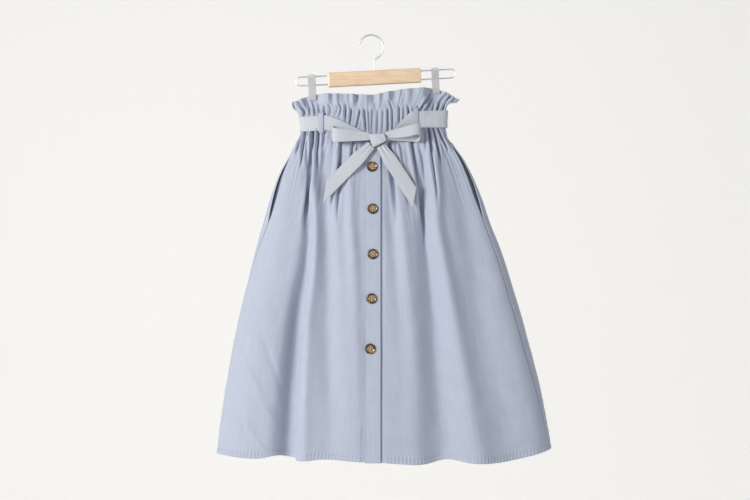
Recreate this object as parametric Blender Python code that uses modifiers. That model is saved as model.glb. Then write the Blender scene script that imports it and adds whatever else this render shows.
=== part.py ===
"""A-line midi skirt with a paper-bag waist, a tied belt and a button placket, hung from a clip hanger.

Metres, +Z up, the front faces -Y. The origin is the inner top of the hanger's hook. The cloth is one flattened,
folded loop at every height. Its panels, the placket and the belt are all read from that same loop.
"""

import math
from collections import namedtuple
from functools import lru_cache

import bmesh
import bpy
import numpy as np
from mathutils import Euler, Matrix, Vector

NAME = "a_line_midi_skirt"

# Cloth
WALL = 0.0014
SEAM_GAP = 0.0003
CENTRE_FRONT = 0.0038  # the skirt's centre line stands this far to the right of the hook
LOOP_STEPS = 1440
ROUNDNESS = 0.85  # under 1 fills out the section's shoulders
END_SHARE = 0.40  # how far the columns crowd towards the loop's two sharp ends

# The loop at each height: its slope, its left and right ends and its depth to the front and back from the hanger's
# plane, the swing of its small gathers and of the frill's ruffles, how far the clips close it, and how far each side
# seam lies in from the end of the loop, on its front.
Section = namedtuple("Section", "height slope left right front back gather ruffle closed left_seam right_seam")
SECTIONS = (
    Section(-0.1075, 0.053, -0.1520, 0.1640, 0.0210, 0.0180, 0.0026, 0.0046, 1.00, 0.0010, 0.0040),
    Section(-0.1190, 0.053, -0.1510, 0.1570, 0.0205, 0.0180, 0.0024, 0.0040, 1.00, 0.0010, 0.0040),
    Section(-0.1310, 0.053, -0.1480, 0.1490, 0.0200, 0.0180, 0.0019, 0.0026, 0.90, 0.0010, 0.0035),
    Section(-0.1420, 0.050, -0.1430, 0.1410, 0.0190, 0.0175, 0.0012, 0.0010, 0.45, 0.0010, 0.0030),
    Section(-0.1540, 0.040, -0.1375, 0.1395, 0.0185, 0.0175, 0.0011, 0.0000, 0.12, 0.0010, 0.0030),
    Section(-0.1800, 0.028, -0.1370, 0.1390, 0.0190, 0.0180, 0.0011, 0.0000, 0.00, 0.0010, 0.0030),
    Section(-0.1980, 0.020, -0.1450, 0.1430, 0.0215, 0.0200, 0.0020, 0.0000, 0.00, 0.0010, 0.0035),
    Section(-0.2120, 0.014, -0.1520, 0.1540, 0.0245, 0.0215, 0.0027, 0.0000, 0.00, 0.0015, 0.0040),
    Section(-0.2330, 0.008, -0.1625, 0.1700, 0.0285, 0.0235, 0.0024, 0.0000, 0.00, 0.0025, 0.0050),
    Section(-0.2560, 0.003, -0.1750, 0.1834, 0.0320, 0.0255, 0.0019, 0.0000, 0.00, 0.0040, 0.0060),
    Section(-0.3130, 0.000, -0.1967, 0.2082, 0.0400, 0.0295, 0.0009, 0.0000, 0.00, 0.0090, 0.0100),
    Section(-0.3590, 0.000, -0.2100, 0.2235, 0.0455, 0.0320, 0.0004, 0.0000, 0.00, 0.0100, 0.0115),
    Section(-0.4050, 0.000, -0.2230, 0.2420, 0.0500, 0.0340, 0.0000, 0.0000, 0.00, 0.0050, 0.0130),
    Section(-0.4740, 0.000, -0.2400, 0.2640, 0.0560, 0.0370, 0.0000, 0.0000, 0.00, 0.0018, 0.0140),
    Section(-0.5420, 0.000, -0.2565, 0.2840, 0.0605, 0.0395, 0.0000, 0.0000, 0.00, 0.0010, 0.0150),
    Section(-0.6110, 0.000, -0.2700, 0.3020, 0.0645, 0.0415, 0.0000, 0.0000, 0.00, 0.0010, 0.0140),
    Section(-0.6800, 0.000, -0.2820, 0.3180, 0.0680, 0.0430, 0.0000, 0.0000, 0.00, 0.0010, 0.0110),
    Section(-0.7490, 0.000, -0.2915, 0.3300, 0.0710, 0.0445, 0.0000, 0.0000, 0.00, 0.0010, 0.0070),
    Section(-0.8060, 0.000, -0.2970, 0.3390, 0.0740, 0.0460, 0.0000, 0.0000, 0.00, 0.0010, 0.0030),
)
FRILL_TOP = SECTIONS[0].height
HEM = SECTIONS[-1].height
CASING_BOTTOM = -0.198

# Folds: each one's place across the half width (-1 left, 1 right), how far it stands out (minus: in) and its width,
# at the heights named here.
FOLD_HEIGHTS = (-0.205, -0.350, -0.560, -0.806)
Fold = namedtuple("Fold", "name place out width")
FRONT_FOLDS = (
    Fold("left side swell", (-0.93, -0.84, -0.83, -0.84), (0.001, 0.003, 0.005, 0.006), (0.010, 0.020, 0.028, 0.030)),
    Fold("left deep valley", (-0.78, -0.595, -0.573, -0.568), (-0.006, -0.013, -0.019, -0.023), (0.007, 0.010, 0.018, 0.025)),
    Fold("left edge ridge", (-0.72, -0.545, -0.51, -0.49), (0.004, 0.008, 0.010, 0.010), (0.007, 0.010, 0.013, 0.017)),
    Fold("left soft valley", (-0.58, -0.44, -0.36, -0.30), (-0.003, -0.0085, -0.009, -0.005), (0.010, 0.013, 0.018, 0.026)),
    Fold("left soft ridge", (-0.46, -0.34, -0.25, -0.20), (0.003, 0.003, 0.002, 0.001), (0.009, 0.010, 0.018, 0.024)),
    Fold("left inner valley", (-0.38, -0.31, -0.24, -0.22), (-0.003, -0.003, -0.001, 0.000), (0.008, 0.010, 0.015, 0.020)),
    Fold("left inner ridge", (-0.28, -0.225, -0.165, -0.13), (0.003, 0.006, 0.004, 0.001), (0.009, 0.011, 0.016, 0.022)),
    Fold("right inner valley", (0.17, 0.14, 0.14, 0.14), (-0.003, -0.005, -0.002, 0.000), (0.008, 0.011, 0.016, 0.022)),
    Fold("right inner ridge", (0.29, 0.225, 0.21, 0.20), (0.003, 0.005, 0.003, 0.001), (0.008, 0.011, 0.016, 0.022)),
    Fold("right deep valley", (0.56, 0.42, 0.375, 0.36), (-0.006, -0.013, -0.018, -0.022), (0.007, 0.0125, 0.024, 0.037)),
    Fold("right broad ridge", (0.68, 0.53, 0.51, 0.55), (0.004, 0.009, 0.010, 0.010), (0.009, 0.013, 0.021, 0.034)),
    Fold("right far valley", (0.88, 0.80, 0.70, 0.76), (-0.002, -0.005, -0.007, -0.005), (0.010, 0.020, 0.032, 0.040)),
    Fold("right side swell", (0.94, 0.92, 0.90, 0.92), (0.001, 0.002, 0.004, 0.004), (0.010, 0.018, 0.026, 0.030)),
)
BACK_FOLDS = (
    Fold("back left valley", (-0.66, -0.60, -0.58, -0.56), (-0.003, -0.008, -0.012, -0.015), (0.009, 0.014, 0.020, 0.026)),
    Fold("back left ridge", (-0.44, -0.40, -0.36, -0.34), (0.002, 0.006, 0.009, 0.010), (0.010, 0.018, 0.026, 0.034)),
    Fold("back centre valley", (-0.08, -0.06, -0.04, -0.02), (-0.003, -0.007, -0.012, -0.014), (0.009, 0.015, 0.022, 0.028)),
    Fold("back right ridge", (0.26, 0.28, 0.30, 0.30), (0.002, 0.006, 0.008, 0.010), (0.010, 0.018, 0.026, 0.034)),
    Fold("back right valley", (0.60, 0.56, 0.54, 0.54), (-0.003, -0.008, -0.012, -0.014), (0.009, 0.014, 0.020, 0.028)),
)

# How far the hem and the frill's top edge stand above (minus: below) their sections, across the half width
Edge = namedtuple("Edge", "place lift")
FRONT_HEM = (
    Edge(-1.00, 0.011), Edge(-0.85, 0.007), Edge(-0.74, 0.006), Edge(-0.63, 0.011), Edge(-0.52, 0.003),
    Edge(-0.36, 0.006), Edge(-0.15, 0.002), Edge(0.00, 0.000), Edge(0.25, -0.003), Edge(0.37, 0.004),
    Edge(0.53, -0.002), Edge(0.70, -0.001), Edge(0.87, 0.009), Edge(1.00, 0.020),
)
BACK_HEM = (Edge(-1.00, 0.011), Edge(-0.50, 0.005), Edge(0.00, 0.004), Edge(0.55, 0.008), Edge(1.00, 0.020))
FRILL_EDGE = (
    Edge(-1.00, -0.011), Edge(-0.80, -0.001), Edge(-0.35, -0.002), Edge(0.00, -0.006), Edge(0.15, -0.002),
    Edge(0.45, 0.002), Edge(0.68, 0.001), Edge(0.84, -0.008), Edge(1.00, -0.024),
)
HEM_LIFT_RISE = 0.22  # the hem's lift fades out over this height
FRILL_LIFT_DROP = 0.034

# Panels: heights of their rings, columns, and the gathers in each
PANEL_HEIGHTS = (
    -0.1075, -0.1190, -0.1310, -0.1420, -0.1540, -0.1680, -0.1820, -0.1980, -0.2120, -0.2330, -0.2560,
    -0.2830, -0.3130, -0.3480, -0.3900, -0.4400, -0.4950, -0.5550, -0.6200, -0.6850, -0.7480, -0.8060,
)
FRONT_GATHERS = 15  # in each front
BACK_GATHERS = 26
FRONT_RUFFLES = 5
BACK_RUFFLES = 11
PLACKET_FLAT = 0.022  # half width that stays free of gathers and folds under the placket

# Placket and buttons
PLACKET_WIDTH = 0.029
PLACKET_RISE = 0.0004
PLACKET_COLUMNS = 4
PLACKET_HEIGHTS = tuple(h for h in PANEL_HEIGHTS if h <= CASING_BOTTOM)
Button = namedtuple("Button", "name x height")
BUTTONS = (
    Button("button_1", -0.0015, -0.2512),
    Button("button_2", -0.0004, -0.3312),
    Button("button_3", 0.0000, -0.4164),
    Button("button_4", -0.0023, -0.4997),
    Button("button_5", -0.0050, -0.5934),
)
BUTTON_RADIUS = 0.0100
BUTTON_THICKNESS = 0.0030
BUTTON_SEAT = 0.0006
BUTTON_STEPS = 20
Turn = namedtuple("Turn", "radius up")
BUTTON_PROFILE = (  # in shares of its radius and thickness: from the dished middle, over the rim, to the back
    Turn(0.70, 0.74), Turn(0.80, 0.99), Turn(0.93, 1.00), Turn(1.00, 0.60), Turn(0.90, 0.00),
)
BUTTON_HOLLOW = 0.03  # front and back are dished at their centres, in shares of its thickness
BUTTON_SIGHT = 0.008  # the placket's tilt is read this far above and below each button

# Pockets in the side seams
Pocket = namedtuple("Pocket", "name side top bottom")
POCKETS = (
    Pocket("pocket_bag_left", -1, -0.2300, -0.3550),
    Pocket("pocket_bag_right", 1, -0.2120, -0.3450),
)
SLIT_HALF_GAP = 0.0048
BAG_WALL = 0.0010
BAG_DEPTH = 0.085
BAG_DROP = 0.075  # below the slit
BAG_CLEARANCE = 0.0095
BAG_TOP_INSET = 0.004
BAG_TOP_DEPTH = 0.030
BAG_SETTLE = 0.014  # the bag swings from the slit to the middle of the skirt over this depth
BAG_MOUTH_INSET = 0.0022
BAG_MIDDLE = -0.0060
BAG_DEEPENS = 0.45  # share of its height in which the bag reaches its full depth
BAG_ROUNDS_FROM = 0.62  # its foot is rounded from this share of its height
BAG_ROUND = 0.42
BAG_BEND = 0.15  # share of its width that turns round the fold

# Belt, in the height of its middle and its half width across the front
BELT_WALL = 0.0018
BELT_CLEAR = 0.0022  # from the loop to the belt's inner face, over the gathers
BELT_MIDDLE = -0.1640
BELT_HALF_WIDTH = 0.0155
BELT_KNOT_MIDDLE = -0.1945
BELT_KNOT_HALF_WIDTH = 0.0060
BELT_BUNCH = (0.090, 0.052)  # the belt narrows to the knot over this width, left and right of it
BELT_KNOT_STAND = 0.0025  # how far the drawn belt lifts off the cloth at the knot
BELT_END_X = (-0.0045, 0.0235)
CARRIER_WIDTH = 0.0090
CARRIER_MIDDLE = BELT_MIDDLE + 0.001
CARRIER_HALF_HEIGHT = 0.0205
CARRIER_FOOT = 0.26  # share of its height that slants down to the cloth
CARRIER_LOW = 0.0025
CARRIER_HIGH = BELT_CLEAR + BELT_WALL + 0.0004
Carrier = namedtuple("Carrier", "name side x")
CARRIERS = (
    Carrier("belt_loop_front_left", -1, -0.098),
    Carrier("belt_loop_front_right", -1, 0.081),
    Carrier("belt_loop_back_left", 1, -0.085),
    Carrier("belt_loop_back_right", 1, 0.085),
)

# Bow
BOW_WALL = 0.0016
KNOT_CENTRE = (0.0098, -0.0327, -0.1990)
KNOT_SIZE = (0.0270, 0.0160, 0.0265)
KNOT_TURN = math.radians(-18)
KNOT_SQUARENESS = 0.45  # 0 is a ball, 1 a box
BOW_Y = -0.0335
BOW_LAYER_GAP = 0.0019
BOW_TURN = 0.35  # share of each layer over which its edges pass from the front's heights to the back's
BOW_BULGE_AT_KNOT = 0.35  # share of the bulge that is left where the loop goes into the knot
# Each loop's ends along X, its lower and upper edge at the knot in front and behind, then at the outer end, its bulge
BowLoop = namedtuple("BowLoop", "name start_x end_x start_front start_back end_front end_back bulge")
BOW_LOOPS = (
    BowLoop(
        "bow_loop_left", -0.0040, -0.0770,
        (-0.2010, -0.1885), (-0.1990, -0.1870), (-0.2055, -0.1780), (-0.2010, -0.1730), 0.0072,
    ),
    BowLoop(
        "bow_loop_right", 0.0237, 0.0900,
        (-0.1975, -0.1860), (-0.2010, -0.1895), (-0.1895, -0.1675), (-0.2045, -0.1715), 0.0078,
    ),
)
BowTail = namedtuple("BowTail", "name start end half_width slant")
BOW_TAILS = (
    BowTail("bow_tail_left", (-0.0040, -0.2120), (-0.0905, -0.2985), 0.0130, -0.0060),
    BowTail("bow_tail_right", (0.0155, -0.2135), (0.0785, -0.3100), 0.0130, 0.0045),
)
TAIL_CLEAR = 0.0085
TAIL_WAVE = 0.0012
TAIL_NARROW = 0.55  # share of its width that a tail has at the knot
TAIL_OPENS = 0.35  # share of its length in which it reaches its full width
TAIL_TOP = -0.2100  # above this height the tails stand off the skirt as they do there

# Hanger
HANGER_TURN = math.radians(-3.05)
BAR_CENTRE = (0.0066, 0.0, -0.0797)
BAR_SIZE = (0.1780, 0.0120, 0.0277)
BAR_EDGE = 0.0022
WIRE_RADIUS = 0.0014
WIRE_SPACING = 0.0166
WIRE_ENDS = (-0.1500, 0.1540)  # along the bar from its middle
HOOK_RADIUS = 0.0017
HOOK_BEND = 0.0233
HOOK_TIP_ANGLE = math.radians(164)
HOOK_LOW_ANGLE = math.radians(-38)
SHAFT_TOP = -0.0500
CLIP_X = (-0.1169, 0.1187)
CLIP_HALF_GAP = 0.0019  # half the cloth's depth in the jaws
CLIP_SPREAD = 0.0180  # half the width of cloth that each clip presses flat
CLIP_WIDTH = 0.0138
CLIP_SHEET = 0.0016
CLIP_HEEL = 0.0070
SPOOL_RADIUS = 0.0066
Jaw = namedtuple("Jaw", "out up")
JAW_PROFILE = (
    Jaw(0.0032, -0.0365), Jaw(0.0032, -0.0285), Jaw(0.0042, -0.0240),
    Jaw(CLIP_HEEL, -0.0100), Jaw(CLIP_HEEL, 0.0060), Jaw(0.0092, 0.0120),
)

# Materials: colour, roughness and metallic value
Finish = namedtuple("Finish", "colour roughness metallic")
FINISHES = {
    "cotton": Finish((0.42, 0.48, 0.60), 0.85, 0.0),
    "belt_cotton": Finish((0.53, 0.56, 0.63), 0.85, 0.0),
    "pocket_cotton": Finish((0.34, 0.39, 0.49), 0.90, 0.0),
    "tortoiseshell": Finish((0.26, 0.13, 0.07), 0.30, 0.0),
    "maple": Finish((0.82, 0.62, 0.40), 0.50, 0.0),
    "steel": Finish((0.62, 0.62, 0.63), 0.25, 1.0),
}


def clear_scene():
    for thing in list(bpy.data.objects):
        bpy.data.objects.remove(thing, do_unlink=True)


def collection(name):
    group = bpy.data.collections.new(name)
    bpy.context.scene.collection.children.link(group)
    return group


def material(name):
    found = bpy.data.materials.get(name)
    if found:
        return found
    finish = FINISHES[name]
    made = bpy.data.materials.new(name)
    made.use_nodes = True
    shader = made.node_tree.nodes["Principled BSDF"]
    shader.inputs["Base Color"].default_value = (*finish.colour, 1.0)
    shader.inputs["Roughness"].default_value = finish.roughness
    shader.inputs["Metallic"].default_value = finish.metallic
    return made


def add_object(group, name, data, finish):
    thing = bpy.data.objects.new(name, data)
    data.materials.append(material(finish))
    group.objects.link(thing)
    return thing


# Reading the tables
def smooth_read(places, values, at):
    """A smooth curve through a table's points, as one cubic for each step."""
    places = np.asarray(places, float)
    values = np.asarray(values, float)
    slopes = np.gradient(values, places)
    at = np.clip(at, places[0], places[-1])
    step = np.clip(np.searchsorted(places, at) - 1, 0, len(places) - 2)
    width = places[step + 1] - places[step]
    t = (at - places[step]) / width
    start = (1 + 2 * t) * (1 - t) ** 2 * values[step] + t * (1 - t) ** 2 * width * slopes[step]
    end = t * t * (3 - 2 * t) * values[step + 1] - t * t * (1 - t) * width * slopes[step + 1]
    return start + end


def section_row(height):
    heights = [row.height for row in SECTIONS][::-1]
    columns = {}
    for name in Section._fields[1:]:
        columns[name] = float(smooth_read(heights, [getattr(row, name) for row in SECTIONS][::-1], height))
    return Section(height, **columns)


def fold_at(fold, height):
    heights = FOLD_HEIGHTS[::-1]
    return [float(smooth_read(heights, getattr(fold, name)[::-1], height)) for name in ("place", "out", "width")]


def edge_lift(edges, place):
    return smooth_read([edge.place for edge in edges], [edge.lift for edge in edges], place)


def ease(t):
    t = min(max(t, 0.0), 1.0)
    return t * t * (3 - 2 * t)


# The cloth's loop
def clip_weight(x, closed):
    near = sum(np.exp(-(((x - clip) / CLIP_SPREAD) ** 6)) for clip in CLIP_X)
    return np.clip(closed * near, 0.0, 1.0)


def outward(x, y):
    """Unit normals of a closed counterclockwise loop whose last point repeats its first."""
    ahead = np.roll(x[:-1], -1) - np.roll(x[:-1], 1)
    aside = np.roll(y[:-1], -1) - np.roll(y[:-1], 1)
    size = np.hypot(ahead, aside)
    nx = aside / size
    ny = -ahead / size
    return np.append(nx, nx[0]), np.append(ny, ny[0])


def folds_out(folds, x, centre, half, height):
    if height > CASING_BOTTOM:
        return np.zeros_like(x)
    fade = ease((CASING_BOTTOM - height) / 0.03)
    total = np.zeros_like(x)
    for fold in folds:
        place, out, width = fold_at(fold, height)
        total += out * np.exp(-(((x - centre - place * half) / width) ** 2))
    return total * fade


Loop = namedtuple("Loop", "row turn x y nx ny measure spans")


@lru_cache(maxsize=None)
def loop(height):
    """The cloth's outer face at one height, counterclockwise from its left end, with the span of each panel.

    Places on it are read by a measure that mixes length and turn, so that even steps crowd towards its ends.
    """
    row = section_row(height)
    turn = np.linspace(0, 2 * math.pi, LOOP_STEPS + 1)
    centre = (row.left + row.right) / 2
    half = (row.right - row.left) / 2
    front = turn <= math.pi
    x = centre - half * np.cos(turn)
    y = np.where(front, -row.front, row.back) * np.abs(np.sin(turn)) ** ROUNDNESS
    closed = clip_weight(x, row.closed)
    y = y * (1 - closed) + np.where(front, -CLIP_HALF_GAP, CLIP_HALF_GAP) * closed
    nx, ny = outward(x, y)
    out = np.where(
        front,
        folds_out(FRONT_FOLDS, x, centre, half, height) * (1 - np.exp(-((x / PLACKET_FLAT) ** 4))),
        folds_out(BACK_FOLDS, x, centre, half, height),
    )
    x = x + out * nx
    y = y + out * ny
    nx, ny = outward(x, y)
    length = np.concatenate([[0], np.cumsum(np.hypot(np.diff(x), np.diff(y)))])
    measure = (1 - END_SHARE) * length / length[-1] + END_SHARE * turn / turn[-1]

    def at_inset(inset, side):
        angle = math.acos(1 - inset / half)
        return float(np.interp(angle if side < 0 else math.pi - angle, turn, length))

    def measured(along):
        return float(np.interp(along % length[-1], length, measure)) + along // length[-1]

    left = at_inset(row.left_seam, -1)
    right = at_inset(row.right_seam, 1)
    near = front & (np.abs(x) < 0.03)
    middle = float(np.interp(0.0, x[near], length[near]))
    gaps = [SEAM_GAP / 2 + slit_gap(pocket, height) for pocket in POCKETS]
    spans = {
        "front_left": (measured(left + gaps[0]), measured(middle - SEAM_GAP / 2)),
        "front_right": (measured(middle + SEAM_GAP / 2), measured(right - gaps[1])),
        "back": (measured(right + gaps[1]), measured(length[-1] + left - gaps[0])),
        "seams": (measured(left), measured(right)),
    }
    return Loop(row, turn, x, y, nx, ny, measure, spans)


def slit_gap(pocket, height):
    t = (pocket.top - height) / (pocket.top - pocket.bottom)
    return SLIT_HALF_GAP * math.sin(math.pi * t) ** 0.7 if 0 < t < 1 else 0.0


def on_loop(height, along):
    """The point, normal and turn at a measure along the loop."""
    ring = loop(height)
    columns = (ring.x, ring.y, ring.nx, ring.ny, ring.turn)
    x, y, nx, ny, turn = (float(np.interp(along % 1.0, ring.measure, column)) for column in columns)
    size = math.hypot(nx, ny)
    return x, y, nx / size, ny / size, turn


def raised(height, x, turn):
    """The height of a point of the loop, with the slope of its row and the lifts of the hem and the frill's edge."""
    row = loop(height).row
    place = -math.cos(turn)
    hem = float(edge_lift(FRONT_HEM if turn <= math.pi else BACK_HEM, place))
    frill = float(edge_lift(FRILL_EDGE, place))
    low = ease(1 - (height - HEM) / HEM_LIFT_RISE)
    high = ease(1 - (FRILL_TOP - height) / FRILL_LIFT_DROP)
    return height + row.slope * x + hem * low + frill * high


def waves(panel, u, x, height):
    """How far the gathers and ruffles stand out at a point of a panel."""
    row = loop(height).row
    gathers, ruffles = (BACK_GATHERS, BACK_RUFFLES) if panel == "back" else (FRONT_GATHERS, FRONT_RUFFLES)
    free = 1 - float(clip_weight(x, row.closed))
    if panel != "back" and height < CASING_BOTTOM + 0.006:
        free *= 1 - math.exp(-((x / PLACKET_FLAT) ** 4))
    small = row.gather * math.cos(2 * math.pi * gathers * u)
    large = row.ruffle * math.cos(2 * math.pi * ruffles * u)
    return (small + large) * free


def cloth(panel, u, height):
    """A point of a panel's outer face and its normal, u running from the panel's first seam to its last."""
    start, end = loop(height).spans[panel]
    x, y, nx, ny, turn = on_loop(height, start + u * (end - start))
    out = waves(panel, u, x, height)
    x += out * nx
    y += out * ny
    return Vector((x + CENTRE_FRONT, y, raised(height, x, turn))), Vector((nx, ny, 0.0))


def plain_front(x, height, out, side=-1):
    """A point off the loop at x on its front (side -1) or back (side 1), and the normal there."""
    ring = loop(height)
    facing = (ring.turn <= math.pi) if side < 0 else (ring.turn >= math.pi)
    order = 1 if side < 0 else -1
    along = float(np.interp(x, ring.x[facing][::order], ring.measure[facing][::order]))
    px, py, nx, ny, _ = on_loop(height, along)
    px += out * nx
    py += out * ny
    return Vector((px + CENTRE_FRONT, py, height + ring.row.slope * px)), Vector((nx, ny, 0.0))


# Sheets
def sheet_solid(group, name, finish, columns, rows, face, wall):
    """A grid moved onto a surface and thickened inwards. face(u, v) gives the outer point and its normal."""
    shape = bmesh.new()
    u_layer = shape.verts.layers.float.new("u")
    v_layer = shape.verts.layers.float.new("v")
    bmesh.ops.create_grid(shape, x_segments=columns, y_segments=rows, size=1.0)
    for vert in shape.verts:
        vert[u_layer] = (vert.co.x + 1) / 2
        vert[v_layer] = (vert.co.y + 1) / 2
    inner = bmesh.ops.extrude_face_region(shape, geom=shape.faces[:], use_keep_orig=True)["geom"]
    inner = {item for item in inner if isinstance(item, bmesh.types.BMVert)}
    for vert in shape.verts:
        point, normal = face(vert[u_layer], vert[v_layer])
        vert.co = point - normal * wall if vert in inner else point
    bmesh.ops.recalc_face_normals(shape, faces=shape.faces[:])
    if shape.calc_volume(signed=True) < 0:
        bmesh.ops.reverse_faces(shape, faces=shape.faces[:])
    mesh = bpy.data.meshes.new(name)
    shape.to_mesh(mesh)
    shape.free()
    mesh.shade_smooth()
    mesh.set_sharp_from_angle(angle=math.radians(50))
    return add_object(group, name, mesh, finish)


def height_of(heights, v):
    """Heights at equal steps of v, so that each row of a grid takes one of the named heights."""
    return float(np.interp(v * (len(heights) - 1), range(len(heights)), heights))


def build_panels(group):
    for panel, gathers in (("front_left", FRONT_GATHERS), ("front_right", FRONT_GATHERS), ("back", BACK_GATHERS)):

        def face(u, v, panel=panel):
            return cloth(panel, u, height_of(PANEL_HEIGHTS, v))

        sheet_solid(group, panel, "cotton", 2 * gathers, len(PANEL_HEIGHTS) - 1, face, WALL)


def build_placket(group):
    rise = PLACKET_RISE + WALL

    def face(u, v):
        return plain_front((u - 0.5) * PLACKET_WIDTH, height_of(PLACKET_HEIGHTS, v), rise)

    def lifted(u, v):
        point, normal = face(u, v)
        low = ease(1 - (point.z - HEM) / HEM_LIFT_RISE)
        return point + Vector((0, 0, float(edge_lift(FRONT_HEM, 0.0)) * low)), normal

    sheet_solid(group, "placket", "cotton", PLACKET_COLUMNS, len(PLACKET_HEIGHTS) - 1, lifted, WALL)


def build_pockets(group):
    for pocket in POCKETS:
        build_pocket(group, pocket)


def build_pocket(group, pocket):
    """A bag folded from one sheet: down its front layer from the slit, round the fold, and back to the slit."""
    top = pocket.top - BAG_TOP_INSET
    bottom = pocket.bottom - BAG_DROP
    seam = 0 if pocket.side < 0 else 1

    def face(u, v):
        height = top + v * (bottom - top)
        ring = loop(height)
        x, y, nx, ny, _ = on_loop(height, ring.spans["seams"][seam])
        open_slit = slit_gap(pocket, height)
        depth = BAG_TOP_DEPTH + (BAG_DEPTH - BAG_TOP_DEPTH) * ease(v / BAG_DEEPENS)
        depth *= math.sqrt(max(1 - max((v - BAG_ROUNDS_FROM) / BAG_ROUND, 0.0) ** 2, 0.02))
        swell = math.sin(math.pi * v) ** 0.6 if 0 < v < 1 else 0.0
        across = 2 * u - 1  # -1 at the front edge of the slit, 0 at the fold, 1 at its back edge
        deep = depth * (1 - abs(across) ** 1.6)
        settle = 1 - math.exp(-deep / BAG_SETTLE)
        inset = WALL + BAG_MOUTH_INSET + 0.5 * open_slit
        middle = Vector((x - nx * inset - pocket.side * deep, (y - ny * inset) * (1 - settle) + BAG_MIDDLE * settle, 0))
        forward = Vector((ny * pocket.side * (1 - settle), -nx * pocket.side * (1 - settle) - settle, 0)).normalized()
        half_gap = BAG_WALL + SEAM_GAP / 2 + open_slit * (1 - settle) + (BAG_CLEARANCE / 2) * swell * settle
        bend = min(abs(across) / BAG_BEND, 1.0)
        layer = math.sqrt(1 - (1 - bend) ** 2)
        facing = forward if across < 0 else -forward
        point = middle + facing * (half_gap * layer)
        point += Vector((CENTRE_FRONT, 0, height + ring.row.slope * x))
        normal = (facing * layer + Vector((-pocket.side, 0, 0)) * (1 - bend)).normalized()
        return point, normal

    sheet_solid(group, pocket.name, "pocket_cotton", 14, 9, face, BAG_WALL)


def drawn(t):
    """The belt's way to its full width: nearly straight, and eased at both ends."""
    return (3 * min(max(t, 0.0), 1.0) + ease(t)) / 4


def build_belt(group):
    """One ribbon from the knot round the back to the knot, narrowed where it is drawn into the knot."""

    waist = next(row for row in SECTIONS if row.height == -0.1800)
    half = (waist.right - waist.left) / 2

    def face(u, v):
        first = math.pi / 2 + math.asin(BELT_END_X[0] / half)
        last = math.pi / 2 + math.asin(BELT_END_X[1] / half) - 2 * math.pi
        turn = first + (last - first) * u
        full = min(drawn((first - turn) * half / BELT_BUNCH[0]), drawn((turn - last) * half / BELT_BUNCH[1]))
        middle = BELT_KNOT_MIDDLE + (BELT_MIDDLE - BELT_KNOT_MIDDLE) * full
        half_width = BELT_KNOT_HALF_WIDTH + (BELT_HALF_WIDTH - BELT_KNOT_HALF_WIDTH) * full
        height = middle + (1 - 2 * v) * half_width
        ring = loop(height)
        along = float(np.interp(turn % (2 * math.pi), ring.turn, ring.measure))
        x, y, nx, ny, _ = on_loop(height, along)
        out = BELT_CLEAR + BELT_WALL + BELT_KNOT_STAND * (1 - full)
        place = Vector((x + out * nx + CENTRE_FRONT, y + out * ny, height + ring.row.slope * x))
        return place, Vector((nx, ny, 0.0))

    sheet_solid(group, "belt", "belt_cotton", 64, 2, face, BELT_WALL)


def build_carriers(group):
    for carrier in CARRIERS:

        def face(u, v, carrier=carrier):
            height = CARRIER_MIDDLE + (1 - 2 * v) * CARRIER_HALF_HEIGHT
            over = ease((1 - abs(2 * v - 1)) / CARRIER_FOOT)
            out = CARRIER_LOW + (CARRIER_HIGH - CARRIER_LOW) * over + WALL
            return plain_front(carrier.x + (u - 0.5) * CARRIER_WIDTH, height, out, carrier.side)

        sheet_solid(group, carrier.name, "cotton", 2, 8, face, WALL)


def build_bow_loop(group, part):
    """A ribbon that leaves the knot in front, turns at its outer end and comes back behind."""

    def face(u, v):
        across = 2 * u - 1  # -1 at the knot in front, 0 at the outer end, 1 at the knot behind
        reach = math.cos(across * math.pi / 2) ** 0.8
        x = part.start_x + (part.end_x - part.start_x) * reach
        full = BOW_BULGE_AT_KNOT + (1 - BOW_BULGE_AT_KNOT) * reach
        y = BOW_Y + part.bulge * math.sin(math.pi * across) * full + BOW_LAYER_GAP * across
        behind = ease((across + BOW_TURN) / (2 * BOW_TURN))
        start = [a + (b - a) * behind for a, b in zip(part.start_front, part.start_back)]
        end = [a + (b - a) * behind for a, b in zip(part.end_front, part.end_back)]
        low, high = (a + (b - a) * reach for a, b in zip(start, end))
        return Vector((x + CENTRE_FRONT, y, high + (low - high) * v))

    def with_normal(u, v):
        ahead = face(min(u + 0.01, 1.0), v) - face(max(u - 0.01, 0.0), v)
        outwards = Vector((ahead.y, -ahead.x, 0.0)).normalized()
        if part.end_x > part.start_x:
            return face(u, v), outwards
        return face(u, v), -outwards

    sheet_solid(group, part.name, "belt_cotton", 20, 3, with_normal, BOW_WALL)


def build_bow_tail(group, part):
    """A flat end of the belt that hangs from the knot, clear of the cloth, and is cut slantwise."""
    start = Vector((part.start[0], 0, part.start[1]))
    end = Vector((part.end[0], 0, part.end[1]))
    along = end - start
    aside = Vector((along.z, 0, -along.x)).normalized()

    def face(u, v):
        t = v + 3 * part.slant / along.length * (2 * u - 1) * v
        width = part.half_width * (TAIL_NARROW + (1 - TAIL_NARROW) * ease(t / TAIL_OPENS))
        spot = start + along * t + aside * (2 * u - 1) * width
        wave = TAIL_WAVE * math.sin(5.0 * t + 1.0)
        y = smooth_front_y(spot.x, min(spot.z, TAIL_TOP)) - TAIL_CLEAR - wave
        return Vector((spot.x + CENTRE_FRONT, y, spot.z)), Vector((0.0, -1.0, 0.0))

    sheet_solid(group, part.name, "belt_cotton", 4, 12, face, BOW_WALL)


def smooth_front_y(x, height):
    """The front of the loop at x, without its folds."""
    row = section_row(height)
    centre = (row.left + row.right) / 2
    half = (row.right - row.left) / 2
    return -row.front * (1 - ((x - centre) / half) ** 2) ** (ROUNDNESS / 2)


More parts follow.
